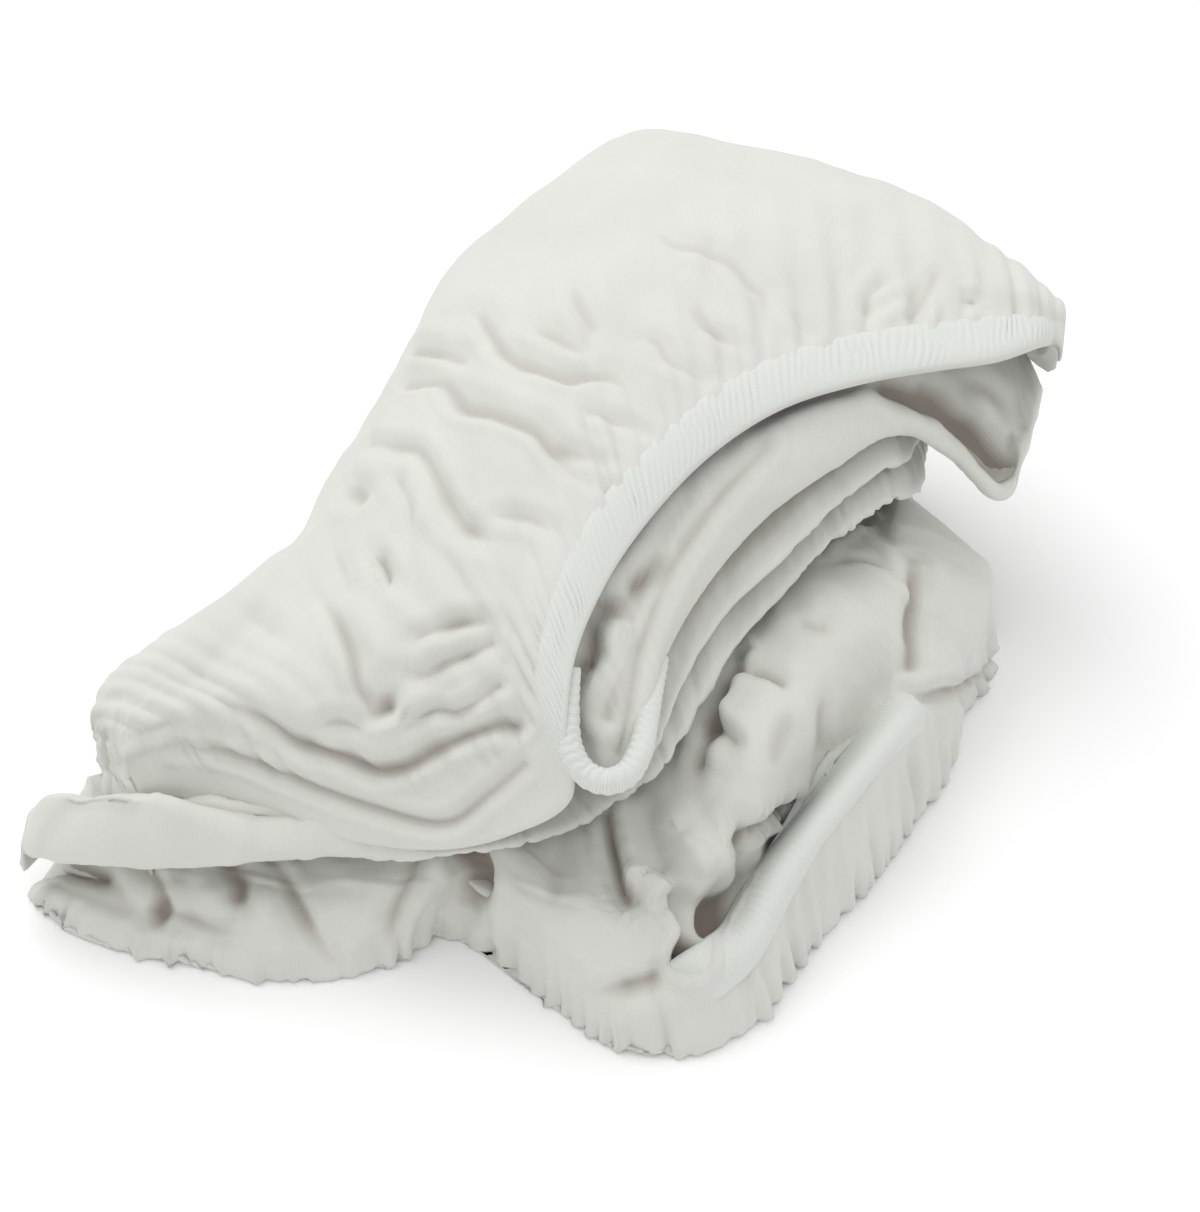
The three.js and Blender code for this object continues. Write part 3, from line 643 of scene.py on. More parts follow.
def folded_ridges(along, across, seed, sizes):
    """Soft-edged ridges round shallow bowls: each size adds its height times 0.3 minus the root of
    the noise squared plus 0.006. sizes: rows of wavelength along, wavelength across and height."""
    total = np.zeros(along.shape)
    for order, (long, wide, height) in enumerate(sizes):
        noise = folded_noise(along / long, across / wide, seed + 7 * order)
        total += height * (0.3 - np.sqrt(noise ** 2 + 0.006))
    return total


def gathers(along, across, seed, waves):
    """Ridges that run away from a gathered edge and fade. waves: rows of spacing, reach and height.

    Each wave is the sine of the distance along the edge over its spacing, wandering a little with
    the distance from the edge, times a height that differs from ridge to ridge.
    """
    total = np.zeros(along.shape)
    for order, (spacing, reach, height) in enumerate(waves):
        start = seed + 11 * order
        wander = 0.4 * soft_noise(along / (2.6 * spacing), across / (2.5 * reach), start)
        ridge, away = along / (1.7 * spacing) + 5.5, across / (2 * reach) + 2.2
        loudness = 0.55 + 0.6 * soft_noise(ridge, away, start + 3)
        wave = np.sin(2 * math.pi * (along / spacing + wander) + 1.7 * order)
        total += height * loudness * wave * np.exp(-(np.maximum(across, 0) / reach) ** 1.3)
    return total


# ---------------------------------------------------------------- meshes


def to_mesh(name, grid, thickness, uv, shade):
    """A closed sheet of the given thickness about a grid, with its UV map and the amounts of shade
    painted into its folds.

    Each point moves half the thickness along and against the grid's normal, and the two skins
    are joined round the four sides.
    """
    rows, columns = grid.shape[:2]
    offset = grid_normals(grid) * (np.broadcast_to(thickness, grid.shape[:2])[..., None] / 2)
    upper, under = grid + offset, grid - offset
    points = np.concatenate([upper.reshape(-1, 3), under.reshape(-1, 3)]) / METRE
    points[:, 2] = np.maximum(points[:, 2], 0)
    number = np.arange(rows * columns).reshape(rows, columns)
    a, b, c, d = number[:-1, :-1], number[:-1, 1:], number[1:, 1:], number[1:, :-1]
    top = np.stack([a, b, c, d], axis=-1).reshape(-1, 4)
    below = np.stack([a, d, c, b], axis=-1).reshape(-1, 4) + rows * columns
    ring = np.concatenate([number[0, :-1], number[:-1, -1], number[-1, :0:-1], number[:0:-1, 0]])
    following = np.roll(ring, -1)
    side = np.stack([following, ring, ring + rows * columns, following + rows * columns], axis=-1)
    faces = np.concatenate([top, below, side])
    mesh = bpy.data.meshes.new(name)
    mesh.vertices.add(len(points))
    mesh.vertices.foreach_set("co", points.ravel())
    mesh.loops.add(faces.size)
    mesh.loops.foreach_set("vertex_index", faces.ravel().astype(np.int32))
    mesh.polygons.add(len(faces))
    mesh.polygons.foreach_set("loop_start", np.arange(0, faces.size, 4, dtype=np.int32))
    mesh.polygons.foreach_set("use_smooth", np.ones(len(faces), bool))
    mesh.update(calc_edges=True)
    layer = mesh.uv_layers.new(name="cloth")
    both = np.concatenate([uv.reshape(-1, 2), uv.reshape(-1, 2)])
    layer.data.foreach_set("uv", (both[faces.ravel()] * UV_PER_MM).ravel())
    depth = mesh.attributes.new("painted_fold_shade", "FLOAT", "POINT")
    depths = np.concatenate([shade.ravel(), shade.ravel()])
    depth.data.foreach_set("value", depths.astype(np.float32))
    mesh.validate()
    piece = bpy.data.objects.new(name, mesh)
    bpy.context.collection.objects.link(piece)
    return piece


def linear(text):
    """An sRGB colour such as 'e4e6de' as linear red, green, blue and one."""
    parts = [int(text[k:k + 2], 16) / 255 for k in (0, 2, 4)]
    return (*[p / 12.92 if p <= 0.04045 else ((p + 0.055) / 1.055) ** 2.4 for p in parts], 1.0)


def add_node(tree, kind, settings=None, inputs=None, links=None):
    """Adds one node: settings are its own values, inputs its sockets' values, and links join
    another node's socket to one of its inputs."""
    node = tree.nodes.new(kind)
    for name, value in (settings or {}).items():
        setattr(node, name, value)
    for name, value in (inputs or {}).items():
        node.inputs[name].default_value = value
    for name, source in (links or {}).items():
        tree.links.new(source, node.inputs[name])
    return node


# In millimetres: the wave texture's bands repeat every pi / 10 of its own unit, which is 100 mm
# here; and the distance between the elastic's fine ribs.
WAVE_LENGTH = math.pi / 10 / UV_PER_MM
ELASTIC_RIB_PITCH = 0.8168


def new_knit(name, bands, hairs):
    """A new material with a knit's two textures: bands of loops across the UV map, and fuzz."""
    material = bpy.data.materials.new(name)
    material.use_nodes = True
    tree = material.node_tree
    tree.nodes.clear()
    place = add_node(tree, "ShaderNodeUVMap", {"uv_map": "cloth"})
    body = add_node(tree, "ShaderNodeTexCoord")
    loops = add_node(tree, "ShaderNodeTexWave", {"bands_direction": "X", "wave_profile": "SIN"},
                     bands, {"Vector": place.outputs["UV"]})
    fuzz = add_node(tree, "ShaderNodeTexNoise", None, hairs, {"Vector": body.outputs["Object"]})
    return material, tree, body, loops, fuzz


def finish_knit(tree, colour, loops, fuzz, loop_bump, fuzz_bump, surface):
    """Ends a knit's material: the loops as a bump, the fuzz as a bump on them, and the shader."""
    first = add_node(tree, "ShaderNodeBump", None, loop_bump, {"Height": loops.outputs["Fac"]})
    second = add_node(tree, "ShaderNodeBump", None, fuzz_bump,
                      {"Height": fuzz.outputs["Fac"], "Normal": first.outputs["Normal"]})
    shader = add_node(tree, "ShaderNodeBsdfPrincipled", None, surface,
                      {"Base Color": colour.outputs["Result"], "Normal": second.outputs["Normal"]})
    add_node(tree, "ShaderNodeOutputMaterial", None, None, {"Surface": shader.outputs["BSDF"]})


def cotton_jersey():
    """Cotton jersey, knitted in columns of loops about 1 mm apart: matt, with a faint fuzz and
    painted shade, slightly warmer and darker, in its creases and hidden folds."""
    sizes = bpy.context.scene.cover_cloth_sizes
    material, tree, body, loops, fuzz = new_knit(
        "cotton jersey",
        {"Scale": WAVE_LENGTH / (sizes.knit_pitch * METRE), "Distortion": 1.2, "Detail": 1.0,
         "Detail Scale": 2.0},
        {"Scale": 900.0, "Detail": 3.0, "Roughness": 0.6})
    cloud = add_node(tree, "ShaderNodeTexNoise", None,
                     {"Scale": 26.0, "Detail": 3.0, "Roughness": 0.55},
                     {"Vector": body.outputs["Object"]})
    tone = add_node(tree, "ShaderNodeMix", {"data_type": "RGBA"},
                    {"A": linear(sizes.shade_hex), "B": linear(sizes.light_hex)},
                    {"Factor": cloud.outputs["Fac"]})
    # Painted shade: the creases and hidden folds are darkened towards a warm grey by the amount
    # that each point carries.
    depth = add_node(tree, "ShaderNodeAttribute", {"attribute_name": "painted_fold_shade"})
    deep = add_node(tree, "ShaderNodeMapRange", None,
                    {"From Min": 1.2, "From Max": 6.0, "To Min": 0.0, "To Max": 0.85},
                    {"Value": depth.outputs["Fac"]})
    fold_shaded = add_node(tree, "ShaderNodeMix", {"data_type": "RGBA"},
                      {"B": linear(sizes.painted_shade_hex)},
                      {"Factor": deep.outputs["Result"], "A": tone.outputs["Result"]})
    finish_knit(tree, fold_shaded, loops, fuzz, {"Strength": 0.16, "Distance": 0.0004},
                {"Strength": 0.22, "Distance": 0.0005},
                {"Roughness": 0.94, "Specular IOR Level": 0.22, "Sheen Weight": 0.25,
                 "Sheen Roughness": 0.6})
    return material


def knitted_elastic():
    """Flat knitted elastic: polyester over rubber threads, in fine ribs across the band, a little
    lighter, bluer and smoother than the jersey, with painted light on the ribs and painted shade
    between them."""
    sizes = bpy.context.scene.cover_elastic_sizes
    material, tree, _, ribs, fuzz = new_knit(
        "knitted elastic",
        {"Scale": WAVE_LENGTH / ELASTIC_RIB_PITCH, "Distortion": 0.6, "Detail": 1.0},
        {"Scale": 700.0, "Detail": 3.0})
    # Painted light and shade: the light tone on the tops of the fine ribs, the shade tone in the
    # grooves between them.
    tone = add_node(tree, "ShaderNodeMix", {"data_type": "RGBA"},
                    {"A": linear(sizes.shade_hex), "B": linear(sizes.light_hex)},
                    {"Factor": ribs.outputs["Fac"]})
    finish_knit(tree, tone, ribs, fuzz, {"Strength": 0.25, "Distance": 0.0004},
                {"Strength": 0.12, "Distance": 0.0004},
                {"Roughness": 0.82, "Specular IOR Level": 0.3, "Sheen Weight": 0.15,
                 "Sheen Roughness": 0.5})
    return material


def finish_of(name, maker):
    """The material of that name, made the first time that it is asked for."""
    return bpy.data.materials.get(name) or maker()


def dressed(piece, material):
    """Gives a finished piece its material and slot, and lets it ride on the part's one body."""
    piece.data.materials.append(material)
    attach(piece, "root")
    return piece


def laid_cloth(name, grid, moved, shade):
    """One visible piece of the jersey: the moved grid as a sheet, mapped by the lengths of the
    grid as it was before its relief, with shade painted into it by the given amounts."""
    thickness = bpy.context.scene.cover_cloth_sizes.thickness * METRE
    uv = np.stack([lengths_along(grid, 0), lengths_along(grid, 1)], axis=-1)
    piece = to_mesh(name, moved, thickness, uv, shade)
    dressed(piece, finish_of("cotton jersey", cotton_jersey))
    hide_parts("cover_cloth")
    return piece


# ---------------------------------------------------------------- the pieces' shapes

# Gathers: a seed, then rows of spacing, reach and height.
TOP_GATHERS = (3, [(6, 12, 0.5), (10, 30, 0.9), (17, 70, 1.2)])
LOWER_GATHERS = (190, [(7.5, 20, 2.0), (12, 30, 2.0)])
# Wrinkles: a seed, then rows of wavelength along, wavelength across and height.
TOP_SOFT = (40, [(70, 50, 1.2), (17, 15, 0.14)])
TOP_SLANTED = (60, [(30, 105, 1.0), (15, 70, 0.45), (9, 45, 0.2)])
TOP_BACK = (52, [(42, 38, 2.0), (16, 24, 0.8)])
LIP_SOFT = (80, [(48, 40, 1.0), (75, 13, 0.9), (34, 8, 0.35)])
LIP_BACK = (95, [(40, 30, 2.2), (17, 24, 0.9)])
LOWER_SOFT = (160, [(52, 44, 1.8), (20, 16, 0.5)])
LOWER_FINE = (165, [(8, 7, 0.22)])
LOWER_FOLDED = (170, [(34, 46, 3.2), (19, 24, 0.9)])
# Ruching of the lips: control position, seed, spacing, reach back from the lip and height.
RUCHING = [(HIGH_LIP, 120, 6.5, 30, 0.4), (MIDDLE_LIP, 150, 9, 26, 0.2),
           (LOW_LIP, 180, 11, 24, 0.25)]
# Widths of the tabled creases of the top layer, and depths of those of the lower mass.
TOP_TIGHTNESS, LOWER_DEEPENING = 0.76, 1.15

# Where a part of the relief starts or ends: from and to, for smooth_step. Sections: the nose's
# side of the top layer, its right-hand end, the slanted wrinkles. Millimetres from the band: the
# gathers, the wrinkles. Control positions: the back of the top layer, the mouth's creases, the
# tongue's creases, the start and end of what shows of the lower mass, its gathers.
NOSE_SIDE, RIGHT_END, SLANT_START = (8, 11), (-1, 1.5), (2, 5)
GATHERS_START, WRINKLES_START = (-9, 2), (0, 22)
TOP_BACK_START, MOUTH_END, TONGUE_START = (5, 7.5), (11.7, 12.2), (24.5, 25.5)
SHOWN_START, SHOWN_END, EDGE_START = (33.2, 34.2), (39.0, 39.6), (RIM - 0.4, RIM + 0.3)
LIP_BACKS = (16, 24)

# Painted shade that darkens the hidden parts of the lips: starts and ends, then the sections it
# fades over.
PAINTED_SHADE_SPANS = [((12.5, 13.3), (18.7, 19.5)), ((20.5, 21.3), (25.6, 26.6))]
CREVICE_SHADE, CREVICE_FADE = 3.6, (10.5, 12)


def top_relief(grid, normals, rows, columns):
    """Height and crease depth over the top layer.

    Gathers stand along the hem and fade uphill; the tabled creases are pressed in; soft wrinkles
    cover the rest, a little stronger towards the left-hand nose.
    """
    sizes = bpy.context.scene.cover_cloth_sizes
    along, across = lengths_along(grid, 0), lengths_along(grid, 1)
    edge = at_column(along, columns, HEM) + 0 * across
    from_band = across - at_column(across, columns, BAND_HIGH)
    creases = pressed(grid, normals, TOP_CREASES, share_to_control, TOP_TIGHTNESS)
    left = smooth_step(rows, *NOSE_SIDE)[:, None]
    ruffle = gathers(edge, from_band, *TOP_GATHERS)
    ruffle *= smooth_step(from_band, *GATHERS_START) * smooth_step(rows, *RIGHT_END)[:, None]
    ruffle *= (1 + 0.35 * left) * sizes.gather_height * METRE
    slanted = wrinkles(along + 0.3 * across, across, *TOP_SLANTED)
    soft = wrinkles(along, across, *TOP_SOFT)
    soft += slanted * smooth_step(rows, *SLANT_START)[:, None]
    soft += smooth_step(columns, *TOP_BACK_START) * wrinkles(along, across, *TOP_BACK)
    soft *= smooth_step(from_band, *WRINKLES_START) * (1 + 0.25 * left)
    soft *= sizes.wrinkle_height * METRE
    return ruffle + soft - creases, creases


def lip_relief(grid, bare, columns):
    """Depth of the relief and of its creases alone, over the lips and their hidden layers.

    Along each lip short ridges run back from its front edge; they are tightest on the high lip,
    where the elastic draws the cloth in, and softer on the two below it. bare is the grid before
    the tongue swells, on which the tabled creases are placed.
    """
    along, across = lengths_along(grid, 0), lengths_along(grid, 1)
    behind = sum(np.exp(-((columns - back) / 2) ** 2) for back in LIP_BACKS)
    total = wrinkles(along, across, *LIP_SOFT) + behind * wrinkles(along, across, *LIP_BACK)
    for lip, seed, spacing, reach, height in RUCHING:
        away = np.abs(across - at_column(across, columns, lip))
        edge = at_column(along, columns, lip) + 0 * across
        waves = [(spacing, reach, height), (2.1 * spacing, 1.4 * reach, height)]
        total += gathers(edge, away, seed, waves) * (0.2 + 0.8 * smooth_step(away, 0, 9))
    normals = grid_normals(bare)
    creases = pressed(bare, normals, MOUTH_CREASES, np.asarray, 1)
    creases *= 1 - smooth_step(columns, *MOUTH_END)
    tongue = pressed(bare, normals, TONGUE_CREASES, np.asarray, 1)
    creases += tongue * smooth_step(columns, *TONGUE_START)
    return total + creases, creases


def lower_relief(grid, normals, columns):
    """Height of the crumples, ruffles and ridges of the lower mass, and depth of its creases."""
    along, across = lengths_along(grid, 0), lengths_along(grid, 1)
    shown = smooth_step(columns, *SHOWN_START) * (1 - smooth_step(columns, *SHOWN_END))
    creases = pressed(grid, normals, LOWER_CREASES, station_to_control, 1)
    bumps = wrinkles(along, across, *LOWER_SOFT) + wrinkles(along, across, *LOWER_FINE)
    bumps += folded_ridges(along + 0.35 * across, across, *LOWER_FOLDED)
    edge = at_column(along, columns, EDGE) + 0 * across
    from_edge = np.abs(across - at_column(across, columns, EDGE))
    bumps += gathers(edge, from_edge, *LOWER_GATHERS) * smooth_step(columns, *EDGE_START)
    bumps += frilled(grid, normals, LOWER_RIDGES, station_to_control)
    return bumps * shown, LOWER_DEEPENING * creases * shown


class CoverClothSizes(bpy.types.PropertyGroup):
    """Sizes and colours of the jersey."""
    thickness: bpy.props.FloatProperty(
        name="Thickness", description="Thickness of the jersey as it lies", default=0.0014,
        min=0.0005, max=0.003, unit="LENGTH")
    knit_pitch: bpy.props.FloatProperty(
        name="Knit pitch", description="Distance between the knit's columns of loops",
        default=0.0010053, min=0.0005, max=0.005, unit="LENGTH")
    gather_height: bpy.props.FloatProperty(
        name="Gather height", description="Height of the gathers along the elastic",
        default=0.001, min=0, max=0.004, unit="LENGTH")
    wrinkle_height: bpy.props.FloatProperty(
        name="Wrinkle height", description="Height of the soft wrinkles",
        default=0.001, min=0, max=0.004, unit="LENGTH")
    light_hex: bpy.props.StringProperty(
        name="Light tone", description="Lighter tone of the jersey, as sRGB hex", default="d9dad4")
    shade_hex: bpy.props.StringProperty(
        name="Shade tone", description="Darker tone of the jersey, as sRGB hex", default="cdcec7")
    # Painted shade: the warm grey that the creases and hidden folds are darkened towards.
    painted_shade_hex: bpy.props.StringProperty(
        name="Crevice tone", description="Tone deep in the folds, as sRGB hex", default="94877f")


class CoverElasticSizes(bpy.types.PropertyGroup):
    """Sizes and colours of the elastic."""
    thickness: bpy.props.FloatProperty(
        name="Thickness", description="Thickness of the band", default=0.0013,
        min=0.0005, max=0.003, unit="LENGTH")
    rib_spacing: bpy.props.FloatProperty(
        name="Rib spacing", description="Distance between the ribs across the band",
        default=0.0036, min=0.001, max=0.01, unit="LENGTH")
    rib_height: bpy.props.FloatProperty(
        name="Rib height", description="How far the ribs stand up", default=0.0004,
        min=0, max=0.002, unit="LENGTH")
    # Painted light and shade of the fine ribs: the light tone on their tops, the shade tone between
    # them.
    light_hex: bpy.props.StringProperty(
        name="Light tone", description="Tone on the ribs, as sRGB hex", default="dde0db")
    shade_hex: bpy.props.StringProperty(
        name="Shade tone", description="Tone between the ribs, as sRGB hex", default="d1d4ce")


class CoverStageSizes(bpy.types.PropertyGroup):
    """Floor and camera."""
    floor_hex: bpy.props.StringProperty(
        name="Floor tone", description="Tone of the floor, as sRGB hex", default="fdfdfd")
    camera_distance: bpy.props.FloatProperty(
        name="Camera distance", description="From the camera to the middle of the heap",
        default=1.1, min=0.4, max=4, unit="LENGTH")
    camera_elevation: bpy.props.FloatProperty(
        name="Camera elevation", description="Angle of the camera above the floor",
        default=math.radians(42), min=0, max=math.pi / 2, unit="ROTATION")
    lens: bpy.props.FloatProperty(
        name="Lens", description="Focal length for a 36 mm wide sensor",
        default=78.42, min=10, max=300, unit="CAMERA")


class COVER_OT_top_cloth(bpy.types.Operator):
    """Makes the top layer with its turned hem, gathers, creases and back wall"""
    bl_idname = "cover.top_cloth"
    bl_label = "Top cloth"

    def execute(self, context):
        rows = row_positions(ROW_COUNT)
        columns = column_positions(0, TOP_END, *TOP_COLUMNS)
        grid = middle_surface(rows, columns)
        grid[..., 2] -= by_section(HEM_SETTLE, rows) * (1 - smooth_step(columns, *SETTLE_FADE))
        grid[..., 0] += by_section(NOSE_DRAW, rows)
        grid = rolled_on(grid, TOP_LEFT_ROLL, False)
        grid = rolled_on(grid, TOP_RIGHT_ROLL, True)
        rows = np.pad(rows, (TOP_RIGHT_ROLL[-1], TOP_LEFT_ROLL[-1]), mode="edge")
        normals = grid_normals(grid)
        height, creases = top_relief(grid, normals, rows, columns)
        # The crease depths also set the shade painted into the creases.
        piece = laid_cloth("top_cloth", grid, grid + normals * height[..., None], creases)
        return {"FINISHED"}


class COVER_OT_lip_cloth(bpy.types.Operator):
    """Makes the layers that run back and forth between the three lips and the back folds"""
    bl_idname = "cover.lip_cloth"
    bl_label = "Lip cloth"

    def execute(self, context):
        rows = row_positions(ROW_COUNT)
        columns = column_positions(TOP_END, LIPS_END, *LIP_COLUMNS)
        grid = middle_surface(rows, columns)
        bare = rolled_on(grid, TONGUE_ROLL, False)
        swell = np.exp(-((columns - SWELL_CENTRE) / SWELL_WIDTH) ** 2)
        grid[..., 2] += by_section(TONGUE_SWELL, rows) * swell
        grid[..., 0] += by_section(NOSE_DRAW, rows) * (1 - smooth_step(columns, *NOSE_FADE))
        grid = rolled_on(grid, TONGUE_ROLL, False)
        rows = np.pad(rows, (0, TONGUE_ROLL[-1]), mode="edge")
        # On these layers the face that shows is against the normals, so a positive depth goes in.
        depth, creases = lip_relief(grid, bare, columns)
        # Painted shade: the hidden layers between the lips are darkened, together with the creases,
        # by the shade that the piece carries.
        hidden = sum(smooth_step(columns, *first) - smooth_step(columns, *last)
                     for first, last in PAINTED_SHADE_SPANS)
        painted_crevice_shade = CREVICE_SHADE * hidden * (1 - smooth_step(rows, *CREVICE_FADE))[:, None]
        moved = grid + grid_normals(grid) * depth[..., None]
        piece = laid_cloth("lip_cloth", grid, moved, np.maximum(painted_crevice_shade, creases))
        return {"FINISHED"}


class COVER_OT_lower_cloth(bpy.types.Operator):
    """Makes the crumpled lower mass, its edge on the surface and the layers tucked inside it"""
    bl_idname = "cover.lower_cloth"
    bl_label = "Lower cloth"

    def execute(self, context):
        rows = row_positions(ROW_COUNT)
        columns = column_positions(LIPS_END, LOWER_END, *LOWER_COLUMNS)
        grid = middle_surface(rows, columns)
        normals = grid_normals(grid)
        # Here too the face that shows is against the normals.
        bumps, creases = lower_relief(grid, normals, columns)
        moved = grid - normals * (bumps - creases)[..., None]
        moved[..., 2] = np.maximum(moved[..., 2], FLOOR_HEIGHT)
        # The crease depths also set the shade painted into the creases.
        piece = laid_cloth("lower_cloth", grid, moved, creases)
        return {"FINISHED"}


# Each band: the face of the cloth that it lies on; its first and last section; its rows and
# columns; how far it lies off the cloth; over how many sections it dips in at its start and its
# end; the strength of its ribs; its two edges, as pairs of section and control position.
UPPER_BAND = {
    "side": 1, "sections": (0, 11.5), "count": (900, 20), "lift": 0.8, "sink": (0.01, 1.0),
    "loud": 0.8, "edges": ([(0, BAND_LOW - 0.62), (18, BAND_LOW - 0.62)],
                           [(0, BAND_HIGH - 0.05), (18, BAND_HIGH - 0.05)])}
LOWER_BAND = {
    "side": -1, "sections": (5.0, 10.1), "count": (420, 20), "lift": 2.9, "sink": (0.6, 0.5),
    "loud": 0.35, "edges": (
        [(5.0, 36.4), (5.5, 36.25), (5.9, 36.0), (6.6, 35.72), (7.2, 35.75), (8.0, 35.95),
         (8.6, 36.05), (9.6, 36.6), (10.1, 36.8)],
        [(4.9, 37.9), (5.7, 37.7), (6.5, 37.42), (7.1, 37.42), (7.5, 37.45), (8.0, 37.7),
         (8.8, 37.8), (9.6, 38.1), (10.1, 38.2)])}
BAND_DIP = 3.0

# The way of the elastic round the lower end of the mouth: x, y, z and the radius of its roll.
MOUTH_TURN = np.array([
    [15, -97, 131, 2.2],
    [13.5, -110, 122, 3.2],
    [14, -121, 113, 4],
    [19, -128, 107, 4.3],
    [27, -131, 105, 4.4],
    [35, -127, 105, 4.4],
    [40, -117, 107, 4.2],
    [43, -101, 109, 3.8],
    [46, -86, 112, 3],
    [49, -74, 115, 2],
], float)
# The roll's ring: its first and last angle in degrees, its points and places, the direction that
# its middle faces, and the height and spacing of its ribs.
ROLL_FROM, ROLL_TO, ROLL_POINTS, ROLL_PLACES = -40, 220, 28, 220
ROLL_FACE, ROLL_RIB_HEIGHT, ROLL_RIB_SPACING = np.array([0.0, -0.67, 0.74]), 0.22, 3.8


def laid_elastic(name, grid, thickness, uv):
    """One piece of the elastic, with its material, slot and body."""
    piece = to_mesh(name, grid, thickness, uv, np.zeros(grid.shape[:2]))
    return dressed(piece, finish_of("knitted elastic", knitted_elastic))


def ribbed_band(name, side, sections, count, lift, sink, loud, edges):
    """A flat elastic band that lies a little off one face of the cloth, between two edges.

    Its height over the cloth is the lift, plus ribs across the band: the sine of the distance
    along it over the rib spacing, with uneven loudness. Over the last stretches, sink[0] sections
    at its start and sink[1] at its end, it dips into the cloth that covers it there.
    """
    sizes = bpy.context.scene.cover_elastic_sizes
    rows = np.linspace(*sections, count[0])
    first, last = (by_section(edge, rows) for edge in edges)
    fine = np.linspace(first.min(), last.max(), 90)
    place = first + (last - first) * np.linspace(0, 1, count[1])
    place = (place - fine[0]) / (fine[1] - fine[0])
    whole = np.minimum(place.astype(int), len(fine) - 2)
    share = (place - whole)[..., None]
    number, surface = np.arange(count[0])[:, None], middle_surface(rows, fine)
    grid = surface[number, whole] * (1 - share) + surface[number, whole + 1] * share
    along, across = lengths_along(grid, 0), lengths_along(grid, 1)
    edge, spacing = along[:, :1] + 0 * across, sizes.rib_spacing * METRE
    wander = 0.45 * soft_noise(edge / (3 * spacing), across / 9, 301)
    loudness = 0.6 + 0.7 * soft_noise(edge / (2 * spacing), across / 14 + 3, 302)
    ribs = loudness * np.sin(2 * math.pi * (edge / spacing + wander))
    ribs *= loud * sizes.rib_height * METRE
    width_share = across / across[:, -1:]
    body = np.clip(4 * width_share * (1 - width_share), 0, 1) ** 0.5
    raised = lift * (0.35 + 0.65 * body) + ribs * body
    clear = smooth_step(rows, sections[0], sections[0] + sink[0])
    clear = (clear * (1 - smooth_step(rows, sections[1] - sink[1], sections[1])))[:, None]
    height = side * (raised * clear - BAND_DIP * (1 - clear))
    moved = grid + grid_normals(grid) * height[..., None]
    thickness = sizes.thickness * METRE * (0.25 + 0.75 * body)
    return laid_elastic(name, moved, thickness, np.stack([along, across], axis=-1))


def rolled_band(name, way):
    """The elastic rolled over on itself as it turns round the end of the mouth.

    At each place of the way it is an open ring with the radius given there, swelled by ribs: the
    sine of the distance along the way over the rib spacing.
    """
    line = along_curve(way, np.linspace(0, len(way) - 1, ROLL_PLACES))
    middle, radius = line[:, None, :3] - np.array([*PLAN_CENTRE, 0.0]), line[:, None, 3:]
    onward = np.gradient(middle, axis=0)
    onward /= np.linalg.norm(onward, axis=-1, keepdims=True)
    sideways = np.cross(onward, ROLL_FACE)
    sideways /= np.linalg.norm(sideways, axis=-1, keepdims=True)
    upward = np.cross(sideways, onward)
    angle = np.linspace(math.radians(ROLL_FROM), math.radians(ROLL_TO), ROLL_POINTS)[None, :]
    along = lengths_along(middle, 0) + 0 * angle
    wander = 0.4 * soft_noise(along / 9, 3 * (angle + 0 * along), 310)
    ribs = ROLL_RIB_HEIGHT * np.sin(2 * math.pi * (along / ROLL_RIB_SPACING + wander))
    ring = sideways * np.cos(angle)[..., None] + upward * np.sin(angle)[..., None]
    uv = np.stack([along, radius[..., 0] * angle], axis=-1)
    thickness = bpy.context.scene.cover_elastic_sizes.thickness * METRE
    return laid_elastic(name, middle + (radius + ribs[..., None]) * ring, thickness, uv)


class COVER_OT_elastic(bpy.types.Operator):
    """Makes the elastic along the mouth and the elastic at the lower right"""
    bl_idname = "cover.elastic"
    bl_label = "Elastic bands"

    def execute(self, context):
        upper = ribbed_band("upper_elastic", **UPPER_BAND)
        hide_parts("elastic_band_upper")
        lower = ribbed_band("lower_elastic", **LOWER_BAND)
        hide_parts("elastic_band_lower")
        turn = rolled_band("elastic_turn", MOUTH_TURN)
        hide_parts("elastic_band_upper")
        return {"FINISHED"}


# In metres: the floor's corners, the soft light's place, aim, side and power in watts, and the
# point that the camera looks at.
FLOOR_CORNERS = [(-4, -3, 0), (4, -3, 0), (4, 5, 0), (-4, 5, 0)]
LIGHT_PLACE, LIGHT_AIM = (-0.45, 0.55, 1.5), (0.0, -0.02, 0.08)
LIGHT_SIDE, LIGHT_POWER = 1.1, 7.0
CAMERA_AIM = (0.01613, -0.03315, 0.075)


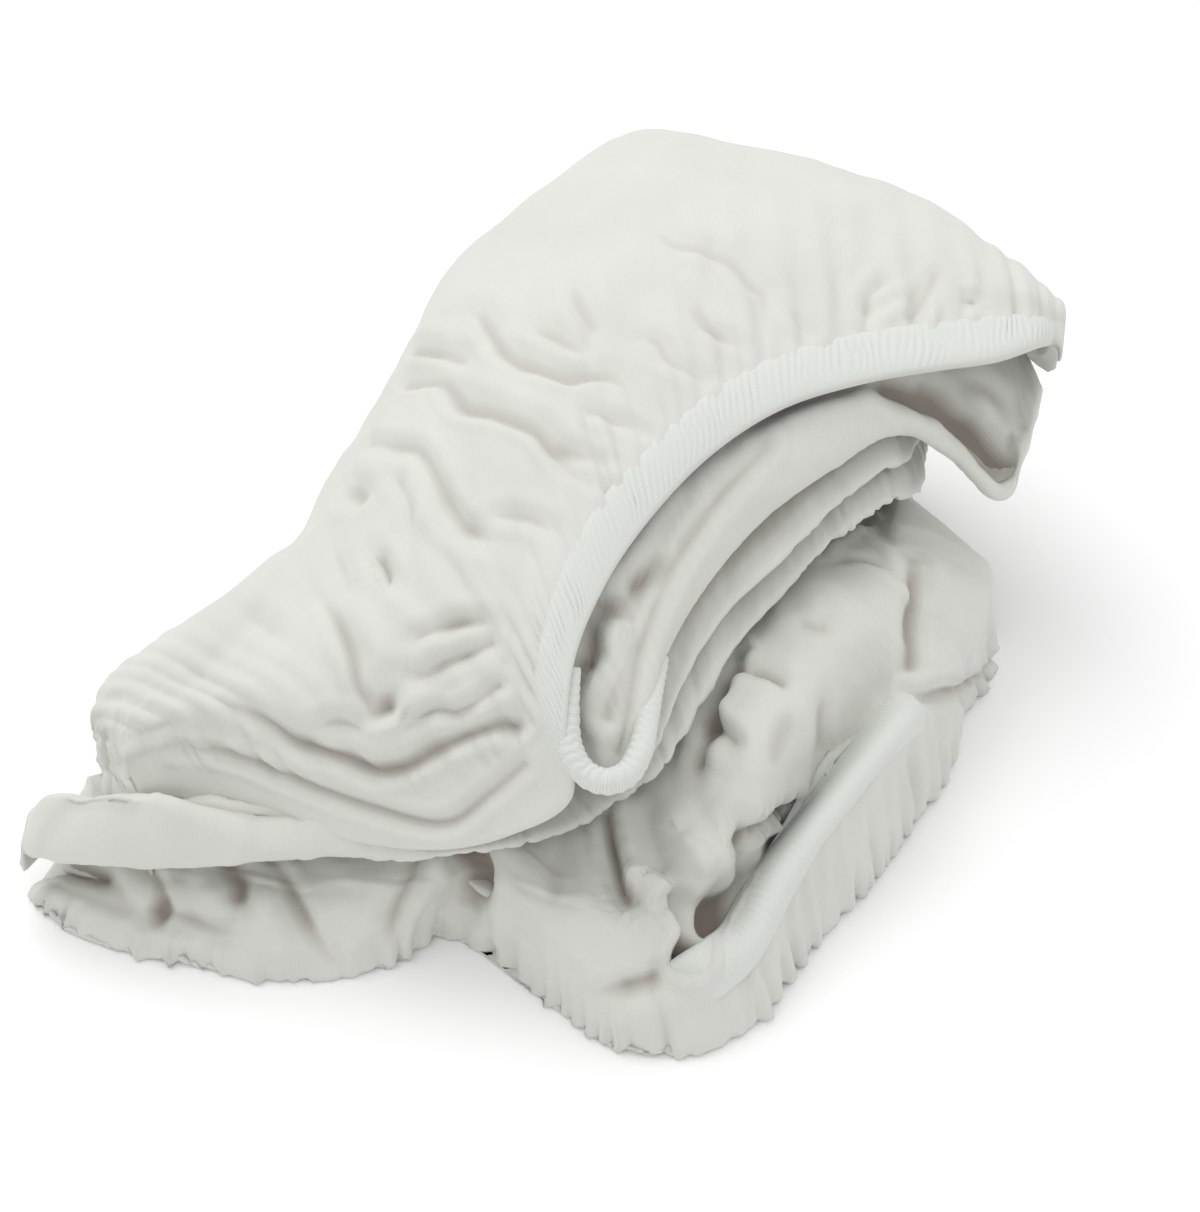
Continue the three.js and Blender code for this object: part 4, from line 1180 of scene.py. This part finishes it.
class COVER_OT_stage(bpy.types.Operator):
    """Makes the floor, the soft light and the camera"""
    bl_idname = "cover.stage"
    bl_label = "Floor, light and camera"

    def execute(self, context):
        sizes = context.scene.cover_stage_sizes
        mesh = bpy.data.meshes.new("floor")
        mesh.from_pydata(FLOOR_CORNERS, [], [(0, 1, 2, 3)])
        floor = bpy.data.objects.new("floor", mesh)
        context.collection.objects.link(floor)
        paper = bpy.data.materials.new("matt paper")
        paper.use_nodes = True
        shader = paper.node_tree.nodes["Principled BSDF"]
        shader.inputs["Base Color"].default_value = linear(sizes.floor_hex)
        shader.inputs["Roughness"].default_value = 1.0
        shader.inputs["Specular IOR Level"].default_value = 0.0
        floor.data.materials.append(paper)

        world = context.scene.world or bpy.data.worlds.new("studio")
        context.scene.world = world
        world.use_nodes = True
        sky = world.node_tree.nodes["Background"]
        sky.inputs["Color"].default_value = (1.0, 1.0, 1.0, 1.0)
        direction = add_node(world.node_tree, "ShaderNodeTexCoord")
        parts = add_node(world.node_tree, "ShaderNodeSeparateXYZ", None, None,
                         {"Vector": direction.outputs["Generated"]})
        rise = add_node(world.node_tree, "ShaderNodeMapRange", None,
                        {"From Min": -0.1, "From Max": 0.9, "To Min": 0.5, "To Max": 1.12},
                        {"Value": parts.outputs["Z"]})
        world.node_tree.links.new(rise.outputs["Result"], sky.inputs["Strength"])

        lamp = bpy.data.lights.new("softbox_top", "AREA")
        lamp.shape, lamp.size, lamp.size_y = "RECTANGLE", LIGHT_SIDE, LIGHT_SIDE
        lamp.energy = LIGHT_POWER
        light = bpy.data.objects.new("softbox_top", lamp)
        context.collection.objects.link(light)
        light.location = LIGHT_PLACE
        aim = np.array(LIGHT_AIM) - np.array(LIGHT_PLACE)
        flat = math.hypot(aim[0], aim[1])
        light.rotation_euler = (math.atan2(flat, -aim[2]), 0, math.atan2(-aim[0], aim[1]))

        lens = bpy.data.cameras.new("camera")
        lens.lens, lens.sensor_width, lens.dof.use_dof = sizes.lens, 36, False
        camera = bpy.data.objects.new("camera", lens)
        context.collection.objects.link(camera)
        tilt = sizes.camera_elevation
        camera.location = (CAMERA_AIM[0], CAMERA_AIM[1] - sizes.camera_distance * math.cos(tilt),
                           CAMERA_AIM[2] + sizes.camera_distance * math.sin(tilt))
        camera.rotation_euler = (math.pi / 2 - tilt, 0, 0)
        context.scene.camera = camera
        context.scene.view_settings.view_transform = "Standard"
        return {"FINISHED"}


class COVER_PT_panel(bpy.types.Panel):
    """Sizes of the cover and a button for each of its pieces"""
    bl_idname = "COVER_PT_panel"
    bl_label = "Folded cover"
    bl_space_type = "VIEW_3D"
    bl_region_type = "UI"
    bl_category = "Cover"

    def draw(self, context):
        for group in (context.scene.cover_cloth_sizes, context.scene.cover_elastic_sizes,
                      context.scene.cover_stage_sizes):
            box = self.layout.box()
            for name in group.bl_rna.properties.keys():
                if name not in ("rna_type", "name"):
                    box.prop(group, name)
        for operator in OPERATORS:
            self.layout.operator(operator.bl_idname)


OPERATORS = (COVER_OT_top_cloth, COVER_OT_lip_cloth, COVER_OT_lower_cloth, COVER_OT_elastic,
             COVER_OT_stage)
GROUPS = {
    "cover_cloth_sizes": CoverClothSizes,
    "cover_elastic_sizes": CoverElasticSizes,
    "cover_stage_sizes": CoverStageSizes,
}


def register():
    for name, group in GROUPS.items():
        bpy.utils.register_class(group)
        setattr(bpy.types.Scene, name, bpy.props.PointerProperty(type=group))
    for operator in (*OPERATORS, COVER_PT_panel):
        bpy.utils.register_class(operator)


def unregister():
    for operator in (COVER_PT_panel, *reversed(OPERATORS)):
        bpy.utils.unregister_class(operator)
    for name, group in GROUPS.items():
        delattr(bpy.types.Scene, name)
        bpy.utils.unregister_class(group)


def main():
    register()
    bpy.ops.cover.stage()
    bpy.ops.cover.lower_cloth()
    bpy.ops.cover.lip_cloth()
    bpy.ops.cover.top_cloth()
    bpy.ops.cover.elastic()


if __name__ == "__main__":
    main()
